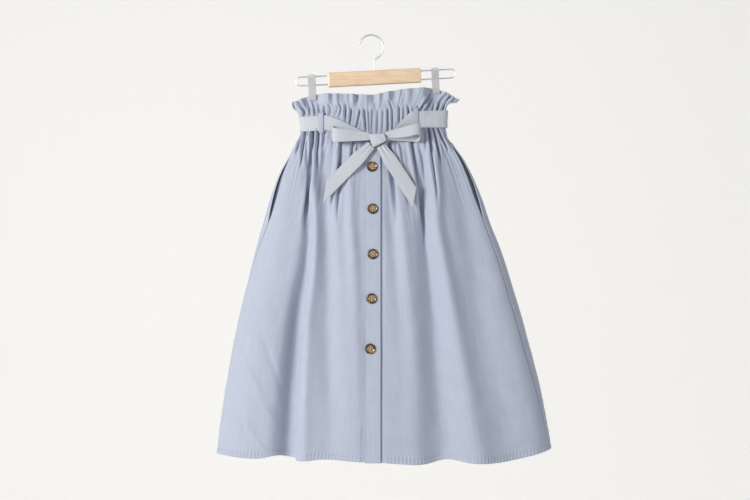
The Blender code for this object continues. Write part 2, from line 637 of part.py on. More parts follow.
def build_bow(group):
    shape = bmesh.new()
    bmesh.ops.create_uvsphere(shape, u_segments=14, v_segments=8, radius=0.5)
    mesh = bpy.data.meshes.new("bow_knot")
    for vert in shape.verts:
        square = max(abs(part) for part in vert.co) / vert.co.length
        vert.co = Vector(part * size for part, size in zip(vert.co * square**-KNOT_SQUARENESS, KNOT_SIZE))
    shape.to_mesh(mesh)
    shape.free()
    mesh.shade_smooth()
    knot = add_object(group, "bow_knot", mesh, "belt_cotton")
    knot.location = Vector(KNOT_CENTRE) + Vector((CENTRE_FRONT, 0, 0))
    knot.rotation_euler = Euler((0, KNOT_TURN, 0))
    for part in BOW_LOOPS:
        build_bow_loop(group, part)
    for part in BOW_TAILS:
        build_bow_tail(group, part)


def build_buttons(group):
    """Turned discs with a raised rim, each square to the placket where it is sewn."""
    shape = bmesh.new()
    rims = []
    for turn in BUTTON_PROFILE:
        place = Matrix.Translation((0, 0, turn.up))
        ring = bmesh.ops.create_circle(shape, segments=BUTTON_STEPS, radius=turn.radius, matrix=place)["verts"]
        rims.append(set(ring))
    for first, second in zip(rims, rims[1:]):
        edges = [edge for edge in shape.edges if set(edge.verts) <= first or set(edge.verts) <= second]
        bmesh.ops.bridge_loops(shape, edges=edges)
    caps = []
    for rim in (rims[0], rims[-1]):
        caps += bmesh.ops.contextual_create(shape, geom=list(rim))["faces"]
    bmesh.ops.recalc_face_normals(shape, faces=shape.faces[:])
    bmesh.ops.poke(shape, faces=caps, offset=-BUTTON_HOLLOW)
    bmesh.ops.scale(shape, vec=(BUTTON_RADIUS, BUTTON_RADIUS, BUTTON_THICKNESS), verts=shape.verts[:])
    mesh = bpy.data.meshes.new("button")
    shape.to_mesh(mesh)
    shape.free()
    mesh.shade_smooth()
    mesh.set_sharp_from_angle(angle=math.radians(40))
    mesh.materials.append(material("tortoiseshell"))
    seat = PLACKET_RISE + WALL + BUTTON_SEAT
    for button in BUTTONS:
        point, _ = plain_front(button.x, button.height, seat)
        above, _ = plain_front(button.x, button.height + BUTTON_SIGHT, seat)
        below, _ = plain_front(button.x, button.height - BUTTON_SIGHT, seat)
        up = (above - below).normalized()
        facing = Vector((1, 0, 0)).cross(up).normalized()
        facing = facing if facing.y < 0 else -facing
        thing = bpy.data.objects.new(button.name, mesh)
        thing.location = point
        thing.rotation_euler = facing.to_track_quat("Z", "Y").to_euler()
        group.objects.link(thing)


def wire(group, name, points, radius, finish, sides=2):
    line = bpy.data.curves.new(name, "CURVE")
    line.dimensions = "3D"
    line.bevel_depth = radius
    line.bevel_resolution = sides
    line.use_fill_caps = True
    spline = line.splines.new("POLY")
    spline.points.add(len(points) - 1)
    for point, place in zip(spline.points, points):
        point.co = (*place, 1.0)
    return add_object(group, name, line, finish)


def hanger_place(x, y, z):
    """A point of the hanger, given along its bar, to the back and up from the bar's middle."""
    return Matrix.Translation(BAR_CENTRE) @ Matrix.Rotation(HANGER_TURN, 4, "Y") @ Vector((x, y, z))


def build_hanger(group):
    shape = bmesh.new()
    bmesh.ops.create_cube(shape, size=1.0)
    bmesh.ops.scale(shape, vec=BAR_SIZE, verts=shape.verts[:])
    mesh = bpy.data.meshes.new("hanger_bar")
    shape.to_mesh(mesh)
    shape.free()
    bar = add_object(group, "hanger_bar", mesh, "maple")
    bar.location = BAR_CENTRE
    bar.rotation_euler = Euler((0, HANGER_TURN, 0))
    edge = bar.modifiers.new("edge", "BEVEL")
    edge.width = BAR_EDGE
    edge.segments = 2

    half = WIRE_SPACING / 2
    for name, side, end in (("hanger_wire_left", -1, WIRE_ENDS[0]), ("hanger_wire_right", 1, WIRE_ENDS[1])):
        start = side * (BAR_SIZE[0] / 2 + 0.0003)
        bend = end - side * half
        points = [hanger_place(start, 0, half)]
        for step in range(13):
            angle = math.pi / 2 - math.pi * step / 12
            points.append(hanger_place(bend + side * half * math.cos(angle), 0, half * math.sin(angle)))
        points.append(hanger_place(start, 0, -half))
        wire(group, name, points, WIRE_RADIUS, "steel")

    centre = Vector((0, 0, -(HOOK_BEND - HOOK_RADIUS)))
    points = []
    for step in range(25):
        angle = HOOK_TIP_ANGLE + (HOOK_LOW_ANGLE - HOOK_TIP_ANGLE) * step / 24
        points.append(centre + HOOK_BEND * Vector((math.cos(angle), 0, math.sin(angle))))
    start = points[-1]
    heading = Vector((math.sin(HOOK_LOW_ANGLE), 0, -math.cos(HOOK_LOW_ANGLE)))
    foot = hanger_place(0, 0, BAR_SIZE[2] / 2 + 0.0004)
    top = Vector((foot.x, 0, SHAFT_TOP))
    for step in range(1, 9):
        t = step / 8
        first = start + heading * 0.020 * t
        second = top + Vector((0, 0, 0.012)) * (1 - t)
        points.append(first.lerp(second, ease(t)))
    points.append(foot)
    wire(group, "hanger_hook", points, HOOK_RADIUS, "steel", 3)


def build_clips(group):
    for side, x in zip(("left", "right"), CLIP_X):
        along = (x + CENTRE_FRONT - BAR_CENTRE[0]) / math.cos(HANGER_TURN)
        for name, facing in ((f"clip_{side}_front_jaw", -1), (f"clip_{side}_back_jaw", 1)):
            heights = [jaw.up for jaw in JAW_PROFILE]
            outs = [jaw.out for jaw in JAW_PROFILE]

            def face(u, v, facing=facing, along=along):
                up = heights[-1] + (heights[0] - heights[-1]) * v
                out = float(np.interp(up, heights, outs)) + CLIP_SHEET
                place = hanger_place(along + (u - 0.5) * CLIP_WIDTH, facing * out, up)
                return place, Vector((0, facing, 0))

            sheet_solid(group, name, "steel", 1, 10, face, CLIP_SHEET)
        ends = [hanger_place(along + offset, 0, 0) for offset in (-CLIP_WIDTH / 2 + 0.001, CLIP_WIDTH / 2 - 0.001)]
        wire(group, f"clip_{side}_spool", ends, SPOOL_RADIUS, "steel", 3)


def build():
    clear_scene()
    group = collection(NAME)
    build_hanger(group)
    build_clips(group)
    build_panels(group)
    build_placket(group)
    build_pockets(group)
    build_belt(group)
    build_carriers(group)
    build_bow(group)
    build_buttons(group)


build()
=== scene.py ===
"""Looks of an A-line midi skirt on a clip hanger: cloth, belt and bow, buttons, wood and plated wire.

Metres, +Z up, the front faces -Y. The origin is the inner top of the hanger's hook. The cloth is one
flattened, folded loop at every height, as in the part's source. Its fine gathers, stitching and creases are
worked on top of that loop.
"""

import math
from collections import namedtuple
from functools import lru_cache

import bmesh
import bpy
import numpy as np
from mathutils import Matrix, Vector


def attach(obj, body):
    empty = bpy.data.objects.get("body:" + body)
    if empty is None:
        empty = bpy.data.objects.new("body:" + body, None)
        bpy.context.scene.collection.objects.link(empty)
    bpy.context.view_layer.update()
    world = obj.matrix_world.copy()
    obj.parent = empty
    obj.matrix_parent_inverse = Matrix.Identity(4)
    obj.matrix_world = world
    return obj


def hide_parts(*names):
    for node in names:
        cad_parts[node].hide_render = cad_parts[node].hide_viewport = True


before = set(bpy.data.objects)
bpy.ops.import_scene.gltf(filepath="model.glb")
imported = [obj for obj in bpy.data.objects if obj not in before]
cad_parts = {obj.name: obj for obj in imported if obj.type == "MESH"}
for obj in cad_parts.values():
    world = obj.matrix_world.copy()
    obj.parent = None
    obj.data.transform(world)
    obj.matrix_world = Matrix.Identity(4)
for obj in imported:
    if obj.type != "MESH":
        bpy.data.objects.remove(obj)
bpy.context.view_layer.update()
BODY = "root"
TAU = 2 * math.pi

# Photo frame and camera
PIXELS = (750, 500)
METRES_A_PIXEL = 0.00191
HOOK_PIXEL = (371, 36)  # the inner top of the hook in the photo
CAMERA_DISTANCE = 3.0
SENSOR = 36.0
LIGHT_TARGET = Vector((0.0, 0.0, -0.45))
WALL_BEHIND = 3.75
FLOOR_LEVEL = -1.50
STAGE_SIZE = 18.0

# Cloth
WALL = 0.0014  # of the part's solids
CLOTH = 0.0011  # of the cloth made here
NARROWEST_CUT = 0.0100
SEAM_GAP = 0.0003
CENTRE_FRONT = 0.0038
LOOP_STEPS = 1440
ROUNDNESS = 0.85
END_SHARE = 0.40

Section = namedtuple(
    "Section", "height slope left right front back gather ruffle closed left_seam right_seam",
)
SECTIONS = tuple(Section(*row) for row in (
    (-0.1075, 0.053, -0.152, 0.164, 0.021, 0.018, 0.0026, 0.0046, 1, 0.001, 0.004),
    (-0.119, 0.053, -0.151, 0.157, 0.0205, 0.018, 0.0024, 0.004, 1, 0.001, 0.004),
    (-0.131, 0.053, -0.148, 0.149, 0.02, 0.018, 0.0019, 0.0026, 0.9, 0.001, 0.0035),
    (-0.142, 0.05, -0.143, 0.141, 0.019, 0.0175, 0.0012, 0.001, 0.45, 0.001, 0.003),
    (-0.154, 0.04, -0.1375, 0.1395, 0.0185, 0.0175, 0.0011, 0, 0.12, 0.001, 0.003),
    (-0.18, 0.028, -0.137, 0.139, 0.019, 0.018, 0.0011, 0, 0, 0.001, 0.003),
    (-0.198, 0.02, -0.145, 0.143, 0.0215, 0.02, 0.002, 0, 0, 0.001, 0.0035),
    (-0.212, 0.014, -0.152, 0.154, 0.0245, 0.0215, 0.0027, 0, 0, 0.0015, 0.004),
    (-0.233, 0.008, -0.1625, 0.17, 0.0285, 0.0235, 0.0024, 0, 0, 0.0025, 0.005),
    (-0.256, 0.003, -0.175, 0.1834, 0.032, 0.0255, 0.0019, 0, 0, 0.004, 0.006),
    (-0.313, 0, -0.1967, 0.2082, 0.04, 0.0295, 0.0009, 0, 0, 0.009, 0.01),
    (-0.359, 0, -0.21, 0.2235, 0.0455, 0.032, 0.0004, 0, 0, 0.01, 0.0115),
    (-0.405, 0, -0.223, 0.242, 0.05, 0.034, 0, 0, 0, 0.005, 0.013),
    (-0.474, 0, -0.24, 0.264, 0.056, 0.037, 0, 0, 0, 0.0018, 0.014),
    (-0.542, 0, -0.2565, 0.284, 0.0605, 0.0395, 0, 0, 0, 0.001, 0.015),
    (-0.611, 0, -0.27, 0.302, 0.0645, 0.0415, 0, 0, 0, 0.001, 0.014),
    (-0.68, 0, -0.282, 0.318, 0.068, 0.043, 0, 0, 0, 0.001, 0.011),
    (-0.749, 0, -0.2915, 0.33, 0.071, 0.0445, 0, 0, 0, 0.001, 0.007),
    (-0.806, 0, -0.297, 0.339, 0.074, 0.046, 0, 0, 0, 0.001, 0.003),
))
FRILL_TOP = SECTIONS[0].height
HEM = SECTIONS[-1].height
CASING_BOTTOM = -0.198

FOLD_HEIGHTS = (-0.205, -0.350, -0.560, -0.806)
Fold = namedtuple("Fold", "name place out width")


def in_metres(row):
    return tuple(size / 1000 for size in row)


def fold_table(rows):
    """The folds: place as a share of half the skirt at each height, and depth and width, given in mm."""
    return tuple(Fold(name, place, in_metres(out), in_metres(width)) for name, place, out, width in rows)


FRONT_FOLDS = fold_table((
    ("left side swell", (-0.93, -0.84, -0.83, -0.84), (1, 3, 5, 6), (10, 20, 28, 30)),
    ("left deep valley", (-0.78, -0.595, -0.573, -0.568), (-6, -13, -19, -23), (7, 10, 18, 25)),
    ("left edge ridge", (-0.72, -0.545, -0.51, -0.49), (4, 8, 10, 10), (7, 10, 13, 17)),
    ("left soft valley", (-0.58, -0.44, -0.36, -0.3), (-3, -8.5, -9, -5), (10, 13, 18, 26)),
    ("left soft ridge", (-0.46, -0.34, -0.25, -0.2), (3, 3, 2, 1), (9, 10, 18, 24)),
    ("left inner valley", (-0.38, -0.31, -0.24, -0.22), (-3, -3, -1, 0), (8, 10, 15, 20)),
    ("left inner ridge", (-0.28, -0.225, -0.165, -0.13), (3, 6, 4, 1), (9, 11, 16, 22)),
    ("right inner valley", (0.17, 0.14, 0.14, 0.14), (-3, -5, -2, 0), (8, 11, 16, 22)),
    ("right inner ridge", (0.29, 0.225, 0.21, 0.2), (3, 5, 3, 1), (8, 11, 16, 22)),
    ("right deep valley", (0.56, 0.42, 0.375, 0.36), (-6, -13, -18, -22), (7, 12.5, 24, 37)),
    ("right broad ridge", (0.68, 0.53, 0.51, 0.55), (4, 9, 10, 10), (9, 13, 21, 34)),
    ("right far valley", (0.88, 0.8, 0.7, 0.76), (-2, -5, -7, -5), (10, 20, 32, 40)),
    ("right side swell", (0.94, 0.92, 0.9, 0.92), (1, 2, 4, 4), (10, 18, 26, 30)),
))
BACK_FOLDS = fold_table((
    ("back left valley", (-0.66, -0.6, -0.58, -0.56), (-3, -8, -12, -15), (9, 14, 20, 26)),
    ("back left ridge", (-0.44, -0.4, -0.36, -0.34), (2, 6, 9, 10), (10, 18, 26, 34)),
    ("back centre valley", (-0.08, -0.06, -0.04, -0.02), (-3, -7, -12, -14), (9, 15, 22, 28)),
    ("back right ridge", (0.26, 0.28, 0.3, 0.3), (2, 6, 8, 10), (10, 18, 26, 34)),
    ("back right valley", (0.6, 0.56, 0.54, 0.54), (-3, -8, -12, -14), (9, 14, 20, 28)),
))
Edge = namedtuple("Edge", "place lift")
FRONT_HEM = tuple(Edge(*row) for row in (
    (-1, 0.011), (-0.85, 0.007), (-0.74, 0.006), (-0.63, 0.011), (-0.52, 0.003),
    (-0.36, 0.006), (-0.15, 0.002), (0, 0), (0.25, -0.003), (0.37, 0.004),
    (0.53, -0.002), (0.7, -0.001), (0.87, 0.009), (1, 0.02),
))
BACK_HEM = tuple(Edge(*row) for row in ((-1, 0.011), (-0.5, 0.005), (0, 0.004), (0.55, 0.008), (1, 0.02)))
FRILL_EDGE = tuple(Edge(*row) for row in (
    (-1, -0.011), (-0.8, -0.001), (-0.35, -0.002), (0, -0.006), (0.15, -0.002),
    (0.45, 0.002), (0.68, 0.001), (0.84, -0.008), (1, -0.024),
))
HEM_LIFT_RISE = 0.22
FRILL_LIFT_DROP = 0.034
FRONT_GATHERS = 15
BACK_GATHERS = 26
BACK_RUFFLES = 11
PLACKET_FLAT = 0.022

# Fine cloth work
FINE_HEIGHTS = (  # stretches of rows: from, to, rows in it
    (-0.1075, -0.1420, 28), (-0.1420, -0.1980, 36), (-0.1980, -0.3000, 42), (-0.3000, -0.7700, 66),
    (-0.7700, -0.8060, 24),
)
FRONT_COLUMNS = 230
BACK_COLUMNS = 240
HEM_BAND = 0.0090
PUCKER_PITCH = 0.0068
PUCKER_DEPTH = 0.00045
STITCH_DIP = 0.0008
EDGE_STEP = 0.0004
SEAM_DIP = 0.0010
PLACKET_GROOVE = 0.0018
PLACKET_SEAT = 0.00015
SOFT_SWELL = 0.0010
FINE_SWELL = 0.00035
LINGER_DEPTH = 0.0004
THREAD_RELIEF = 0.0004
GRAIN_RELIEF = 0.0003
CASING_TOP = -0.1435
GATHER_SHARE = 0.16  # of the swing of the part's even gathers: the rest is in the creases below
LAYERS_APART = 0.0013  # from a panel's outer face to the hanger's plane, at the least

# Creases, in millimetres: the places along each one, from its top down, its depth and its half width
Crease = namedtuple("Crease", "points depth width")
FRONT_CREASES = tuple(Crease(*row) for row in (
    # the frill's left end
    (((-144.2, -124.2), (-129.9, -145.2), (-129.3, -152)), 6, 3),
    (((-133.3, -122), (-126, -141)), 3, 1.5),
    (((-128.2, -118.4), (-120.7, -138.5), (-120.3, -152)), 5, 2.2),
    (((-113.1, -128), (-109.8, -152)), 4, 1.8),
    # above the belt, from left to right
    (((-103.5, -131), (-101, -152)), 3, 1.6),
    (((-93.2, -134.5), (-91.7, -158)), 4.5, 1.7),
    (((-83.6, -131.8), (-80.2, -140.4), (-82, -152)), 2.8, 1.8),
    (((-68.8, -133.7), (-66.3, -139.8), (-70, -150)), 2.2, 1.8),
    (((-63.8, -130.6), (-60.5, -139.8), (-63.8, -155)), 3.4, 1.8),
    (((-51.2, -131.8), (-52.3, -160.5)), 3.4, 2),
    (((-40.7, -141), (-44.1, -172)), 5.2, 1.8),
    (((-24.4, -143), (-31.5, -178)), 5.2, 1.8),
    (((-16.4, -142), (-13, -184)), 5.2, 1.8),
    (((-8, -146), (-7, -184)), 2.4, 1.6),
    (((-1.3, -142), (-2.5, -186)), 3.4, 1.9),
    (((9.6, -142), (8.6, -186)), 3, 1.8),
    (((19.5, -144), (18.6, -182)), 2.4, 1.6),
    (((28.1, -141), (29.2, -182)), 5.4, 1.8),
    (((31.5, -127), (36.5, -142), (37.5, -178)), 3.4, 1.7),
    (((50, -136.5), (50, -166)), 5.2, 1.8),
    (((58.5, -141), (57.5, -162)), 2.4, 1.6),
    (((66.3, -135.5), (69.5, -158)), 5.2, 1.9),
    (((84.8, -137), (87.1, -152)), 5, 1.8),
    # the frill's right end
    (((107.9, -112.1), (98.7, -128.4), (89.4, -144)), 6.5, 2),
    (((114.6, -112.7), (106.2, -131.8), (97.4, -145)), 3.4, 1.6),
    (((116.5, -129.8), (112.6, -145)), 4, 1.7),
    (((126.5, -128), (121.5, -143)), 3.4, 1.6),
    (((142.7, -106.9), (126.4, -128), (122.6, -143)), 7, 2),
    (((150.9, -111.3), (139.2, -126), (132, -143)), 6.5, 1.8),
    (((156.6, -118.3), (143.3, -135.6), (138.4, -144)), 4, 1.6),
    # below the belt, left
    (((-134.5, -178), (-139.5, -200), (-146, -222)), 7.5, 1.8),
    (((-127.5, -176), (-132, -206), (-136, -240)), 7.5, 1.9),
    (((-121.5, -176), (-123.5, -192)), 4, 1.5),
    (((-113.8, -174), (-115.5, -215), (-119, -262), (-128, -345)), 12, 3),
    (((-103, -175), (-104.5, -205), (-106.5, -246)), 8.5, 2.5),
    (((-90.5, -181), (-94, -212)), 2.4, 2.2),
    (((-75, -196), (-80.5, -262)), 2.6, 3.2),
    (((-60, -200), (-63, -262), (-66, -330)), 6.5, 3),
    (((-38, -200), (-41.5, -262)), 5.5, 2.8),
    (((-30, -205), (-34, -262)), 2.2, 3),
    # below the belt, right
    (((30, -204), (36, -262), (43, -335)), 7, 3),
    (((52, -206), (58, -262)), 2.4, 2.6),
    (((73.5, -196), (80.5, -240), (90.2, -300), (96, -370)), 8.5, 3.4),
    (((97, -184), (101, -226)), 2.4, 2.4),
    (((105.5, -176), (109.5, -206), (116, -262), (121, -300)), 9.5, 2.3),
    (((113.8, -176), (121.5, -206), (128, -240)), 7, 1.9),
    (((122.5, -176), (133.5, -200), (141.5, -216)), 6, 1.8),
))
CREASE_FADE = 0.0045
BACK_CREASES = 30  # scattered over the back
FRONT_FILLERS = 14  # small ones between the named ones
CREASE_SHOULDER = 0.35  # how far the cloth swells beside a crease

# The frill's waves along its top edge, in millimetres: place and how far they stand out
FRILL_WAVES = (
    (-150, 0), (-97, 0), (-85, 2.5), (-76, -2), (-70.5, 5), (-62, 1), (-50, 0), (-42, 1.5),
    (-39.5, 6), (-31, -4.5), (-22, 3), (-10, 2.5), (4, -3.5), (10, 3), (20, 0), (30, 6), (36, -1),
    (50, 1.5), (58, 0.5), (66, 3), (75, -1), (90, 1), (100, 0), (160, 0),
)

# The folded edge that stands over the deep valley left of the front: its place down the skirt
RIDGE_HEIGHTS = (-0.210, -0.363, -0.449, -0.537, -0.623, -0.710, -0.796)
RIDGE_PLACES = (-0.1117, -0.1159, -0.1224, -0.1289, -0.1356, -0.1408, -0.1429)
RIDGE_DEPTH = 0.0125
RIDGE_STEP = 0.0026
RIDGE_SLOPE = 0.0240

# Placket and buttons
PLACKET_WIDTH = 0.029
PLACKET_RISE = 0.0004
PLACKET_FOOT = -0.8060
PLACKET_LEFT_RISE = 0.0014
PLACKET_RIGHT_RISE = 0.0026
Button = namedtuple("Button", "name x height turn")
BUTTONS = tuple(Button(*row) for row in (
    ("button_1", -0.0015, -0.2512, 0.2),
    ("button_2", -0.0004, -0.3312, -0.35),
    ("button_3", 0, -0.4164, 0.75),
    ("button_4", -0.0023, -0.4997, 0.05),
    ("button_5", -0.005, -0.5934, -0.15),
))
BUTTON_RADIUS = 0.0100
BUTTON_THICKNESS = 0.0030
BUTTON_SEAT = 0.0006
THREAD = 0.0004
THREAD_RUN = 0.0046
BUTTON_HOLE = 0.23  # each hole's place off both of its middle lines, in shares of its radius

# Pockets
Pocket = namedtuple("Pocket", "name side top bottom")
POCKETS = (
    Pocket("pocket_bag_left", -1, -0.2300, -0.3550),
    Pocket("pocket_bag_right", 1, -0.2120, -0.3450),
)
SLIT_HALF_GAP = 0.0048
BAG_WALL = 0.0010
BAG_DEPTH = 0.085
BAG_DROP = 0.075
BAG_CLEARANCE = 0.0095
BAG_TOP_INSET = 0.004
BAG_TOP_DEPTH = 0.030
BAG_SETTLE = 0.014
BAG_MOUTH_INSET = 0.0022
BAG_MIDDLE = -0.0060
BAG_DEEPENS = 0.45
BAG_ROUNDS = (0.62, 0.42)
BAG_FOLD = 0.15

# Belt and bow
BELT_CLOTH = 0.0014
CARRIER_CLOTH = 0.0012
BOW_CLOTH = 0.0013
BELT_WALL = 0.0018
BELT_CLEAR = 0.0022
BELT_MIDDLE = -0.1640
BELT_HALF_WIDTH = 0.0155
BELT_KNOT_MIDDLE = -0.1945
BELT_KNOT_HALF_WIDTH = 0.0060
BELT_KNOT_STAND = 0.0025
BELT_BUNCH = (0.090, 0.052)
BELT_END_X = (-0.0045, 0.0235)
CARRIER_WIDTH = 0.0090
CARRIER_HALF_HEIGHT = 0.0205
CARRIER_FOOT = 0.26
CARRIER_LOW = 0.0025
CARRIER_HIGH = BELT_CLEAR + BELT_WALL + 0.0004
Carrier = namedtuple("Carrier", "name side x")
CARRIERS = tuple(Carrier(*row) for row in (
    ("belt_loop_front_left", -1, -0.098),
    ("belt_loop_front_right", -1, 0.081),
    ("belt_loop_back_left", 1, -0.085),
    ("belt_loop_back_right", 1, 0.085),
))
KNOT_CENTRE = (0.0098, -0.0327, -0.1990)
KNOT_SIZE = (0.0300, 0.0160, 0.0285)
KNOT_TURN = math.radians(-18)
KNOT_SQUARENESS = 0.76
KNOT_SKEW = 0.0022
BOW_Y = -0.0335
BOW_LAYER_GAP = 0.0019
BOW_TURN = 0.35
BOW_BULGE_AT_KNOT = 0.35
BowLoop = namedtuple("BowLoop", "name start_x end_x start_front start_back end_front end_back bulge sag")
BOW_LOOPS = (
    BowLoop(
        "bow_loop_left", -0.0040, -0.0770,
        (-0.2010, -0.1885), (-0.1990, -0.1870), (-0.2055, -0.1780), (-0.2010, -0.1730), 0.0078, 0.0005,
    ),
    BowLoop(
        "bow_loop_right", 0.0237, 0.0900,
        (-0.1975, -0.1860), (-0.2010, -0.1895), (-0.1895, -0.1675), (-0.2045, -0.1715), 0.0084, 0.0028,
    ),
)
BowTail = namedtuple("BowTail", "name start end half_width slant")
BOW_TAILS = (
    BowTail("bow_tail_left", (-0.0035, -0.2105), (-0.0905, -0.2985), 0.0130, -0.0060),
    BowTail("bow_tail_right", (0.0145, -0.2115), (0.0785, -0.3100), 0.0130, 0.0045),
)
TAIL_CLEAR = 0.0085

# Hanger
CLIP_X = (-0.1169, 0.1187)
CLIP_HALF_GAP = 0.0019
CLIP_SPREAD = 0.0180

# Colours, linear
CLOTH_BLUE = (0.385, 0.430, 0.535, 1.0)
CLOTH_PALE = (0.465, 0.505, 0.600, 1.0)
BELT_GREY = (0.475, 0.505, 0.560, 1.0)
BELT_PALE = (0.560, 0.590, 0.635, 1.0)
# painted shade: the pocket bags' cloth is coloured darker than the skirt's, for the shade inside the pocket
# slits
POCKET_PAINTED_SHADE = (0.15, 0.175, 0.235, 1.0)
# the dark of the shell's blots, also painted as shade inside the button holes
SHELL_DARK_AND_HOLE_SHADE = (0.022, 0.012, 0.009, 1.0)
SHELL_AMBER = (0.42, 0.23, 0.11, 1.0)
SHELL_TAN = (0.55, 0.36, 0.22, 1.0)
MAPLE_PALE = (0.80, 0.615, 0.43, 1.0)
MAPLE_DARK = (0.70, 0.50, 0.32, 1.0)
STEEL_GREY = (0.82, 0.82, 0.83, 1.0)
WALL_WHITE = (0.88, 0.87, 0.855, 1.0)
WALL_GLOW = (0.36, 0.355, 0.345, 1.0)
THREAD_TAN = (0.24, 0.16, 0.10, 1.0)


# Reading the tables
def smooth_read(places, values, at):
    """A smooth curve through a table's points, as one cubic for each step."""
    places = np.asarray(places, float)
    values = np.asarray(values, float)
    slopes = np.gradient(values, places)
    at = np.clip(at, places[0], places[-1])
    step = np.clip(np.searchsorted(places, at) - 1, 0, len(places) - 2)
    width = places[step + 1] - places[step]
    t = (at - places[step]) / width
    start = (1 + 2 * t) * (1 - t) ** 2 * values[step] + t * (1 - t) ** 2 * width * slopes[step]
    end = t * t * (3 - 2 * t) * values[step + 1] - t * t * (1 - t) * width * slopes[step + 1]
    return start + end


@lru_cache(maxsize=None)
def section_row(height):
    heights = [row.height for row in SECTIONS][::-1]
    columns = {}
    for name in Section._fields[1:]:
        columns[name] = float(smooth_read(heights, [getattr(row, name) for row in SECTIONS][::-1], height))
    return Section(height, **columns)


def fold_at(fold, height):
    heights = FOLD_HEIGHTS[::-1]
    return [float(smooth_read(heights, row[::-1], height)) for row in (fold.place, fold.out, fold.width)]


def edge_lift(edges, place):
    return smooth_read([edge.place for edge in edges], [edge.lift for edge in edges], place)


def ease(t):
    t = np.clip(t, 0.0, 1.0)
    return t * t * (3 - 2 * t)


def bell(x, width):
    return np.exp(-((x / width) ** 2))


def ripple(a, b, seed, scale=1.0):
    """A soft random swell of about one unit either way, smooth in both of its directions."""
    dice = np.random.default_rng(seed)
    total = np.zeros(np.broadcast(a, b).shape)
    for _ in range(6):
        heading = dice.uniform(0, TAU)
        rate = scale * dice.uniform(0.6, 1.5)
        along = np.cos(heading) * a + np.sin(heading) * b
        total = total + np.sin(rate * along + dice.uniform(0, TAU))
    return total / 3.0


# The cloth's loop
def clip_weight(x, closed):
    near = sum(np.exp(-(((x - clip) / CLIP_SPREAD) ** 6)) for clip in CLIP_X)
    return np.clip(closed * near, 0.0, 1.0)


def outward(x, y):
    """Unit normals of a closed counterclockwise loop whose last point repeats its first."""
    ahead = np.roll(x[:-1], -1) - np.roll(x[:-1], 1)
    aside = np.roll(y[:-1], -1) - np.roll(y[:-1], 1)
    size = np.hypot(ahead, aside)
    nx = aside / size
    ny = -ahead / size
    return np.append(nx, nx[0]), np.append(ny, ny[0])


def folds_out(folds, x, centre, half, height):
    if height > CASING_BOTTOM:
        return np.zeros_like(x)
    fade = float(ease((CASING_BOTTOM - height) / 0.03))
    total = np.zeros_like(x)
    for fold in folds:
        place, out, width = fold_at(fold, height)
        total += out * np.exp(-(((x - centre - place * half) / width) ** 2))
    return total * fade


def slit_gap(pocket, height):
    t = (pocket.top - height) / (pocket.top - pocket.bottom)
    return SLIT_HALF_GAP * math.sin(math.pi * t) ** 0.7 if 0 < t < 1 else 0.0


Loop = namedtuple("Loop", "row turn x y nx ny measure spans")


@lru_cache(maxsize=None)
def loop(height):
    """The cloth's outer face at one height, counterclockwise from its left end, and each panel's span."""
    row = section_row(height)
    turn = np.linspace(0, TAU, LOOP_STEPS + 1)
    centre = (row.left + row.right) / 2
    half = (row.right - row.left) / 2
    front = turn <= math.pi
    x = centre - half * np.cos(turn)
    y = np.where(front, -row.front, row.back) * np.abs(np.sin(turn)) ** ROUNDNESS
    closed = clip_weight(x, row.closed)
    y = y * (1 - closed) + np.where(front, -CLIP_HALF_GAP, CLIP_HALF_GAP) * closed
    nx, ny = outward(x, y)
    out = np.where(
        front,
        folds_out(FRONT_FOLDS, x, centre, half, height) * (1 - np.exp(-((x / PLACKET_FLAT) ** 4))),
        folds_out(BACK_FOLDS, x, centre, half, height),
    )
    x = x + out * nx
    y = y + out * ny
    nx, ny = outward(x, y)
    length = np.concatenate([[0], np.cumsum(np.hypot(np.diff(x), np.diff(y)))])
    measure = (1 - END_SHARE) * length / length[-1] + END_SHARE * turn / turn[-1]

    def at_inset(inset, side):
        angle = math.acos(1 - inset / half)
        return float(np.interp(angle if side < 0 else math.pi - angle, turn, length))

    def measured(along):
        return float(np.interp(along % length[-1], length, measure)) + along // length[-1]

    left = at_inset(row.left_seam, -1)
    right = at_inset(row.right_seam, 1)
    near = front & (np.abs(x) < 0.03)
    middle = float(np.interp(0.0, x[near], length[near]))
    gaps = [SEAM_GAP / 2 + slit_gap(pocket, height) for pocket in POCKETS]
    spans = {
        "front_left": (measured(left + gaps[0]), measured(middle - SEAM_GAP / 2)),
        "front_right": (measured(middle + SEAM_GAP / 2), measured(right - gaps[1])),
        "back": (measured(right + gaps[1]), measured(length[-1] + left - gaps[0])),
        "seams": (measured(left), measured(right)),
    }
    return Loop(row, turn, x, y, nx, ny, measure, spans)


def on_loop(height, along):
    """Points, normals and turns at measures along the loop."""
    ring = loop(height)
    at = np.asarray(along, float) % 1.0
    columns = (ring.x, ring.y, ring.nx, ring.ny, ring.turn)
    x, y, nx, ny, turn = (np.interp(at, ring.measure, column) for column in columns)
    size = np.hypot(nx, ny)
    return x, y, nx / size, ny / size, turn


def raised(height, x, turn):
    """The height of points of the loop: its row's slope, and the lifts of the hem and the frill's edge."""
    place = -np.cos(turn)
    hem = np.where(turn <= math.pi, edge_lift(FRONT_HEM, place), edge_lift(BACK_HEM, place))
    frill = edge_lift(FRILL_EDGE, place)
    low = ease(1 - (height - HEM) / HEM_LIFT_RISE)
    high = ease(1 - (FRILL_TOP - height) / FRILL_LIFT_DROP)
    return height + loop(height).row.slope * x + hem * low + frill * high


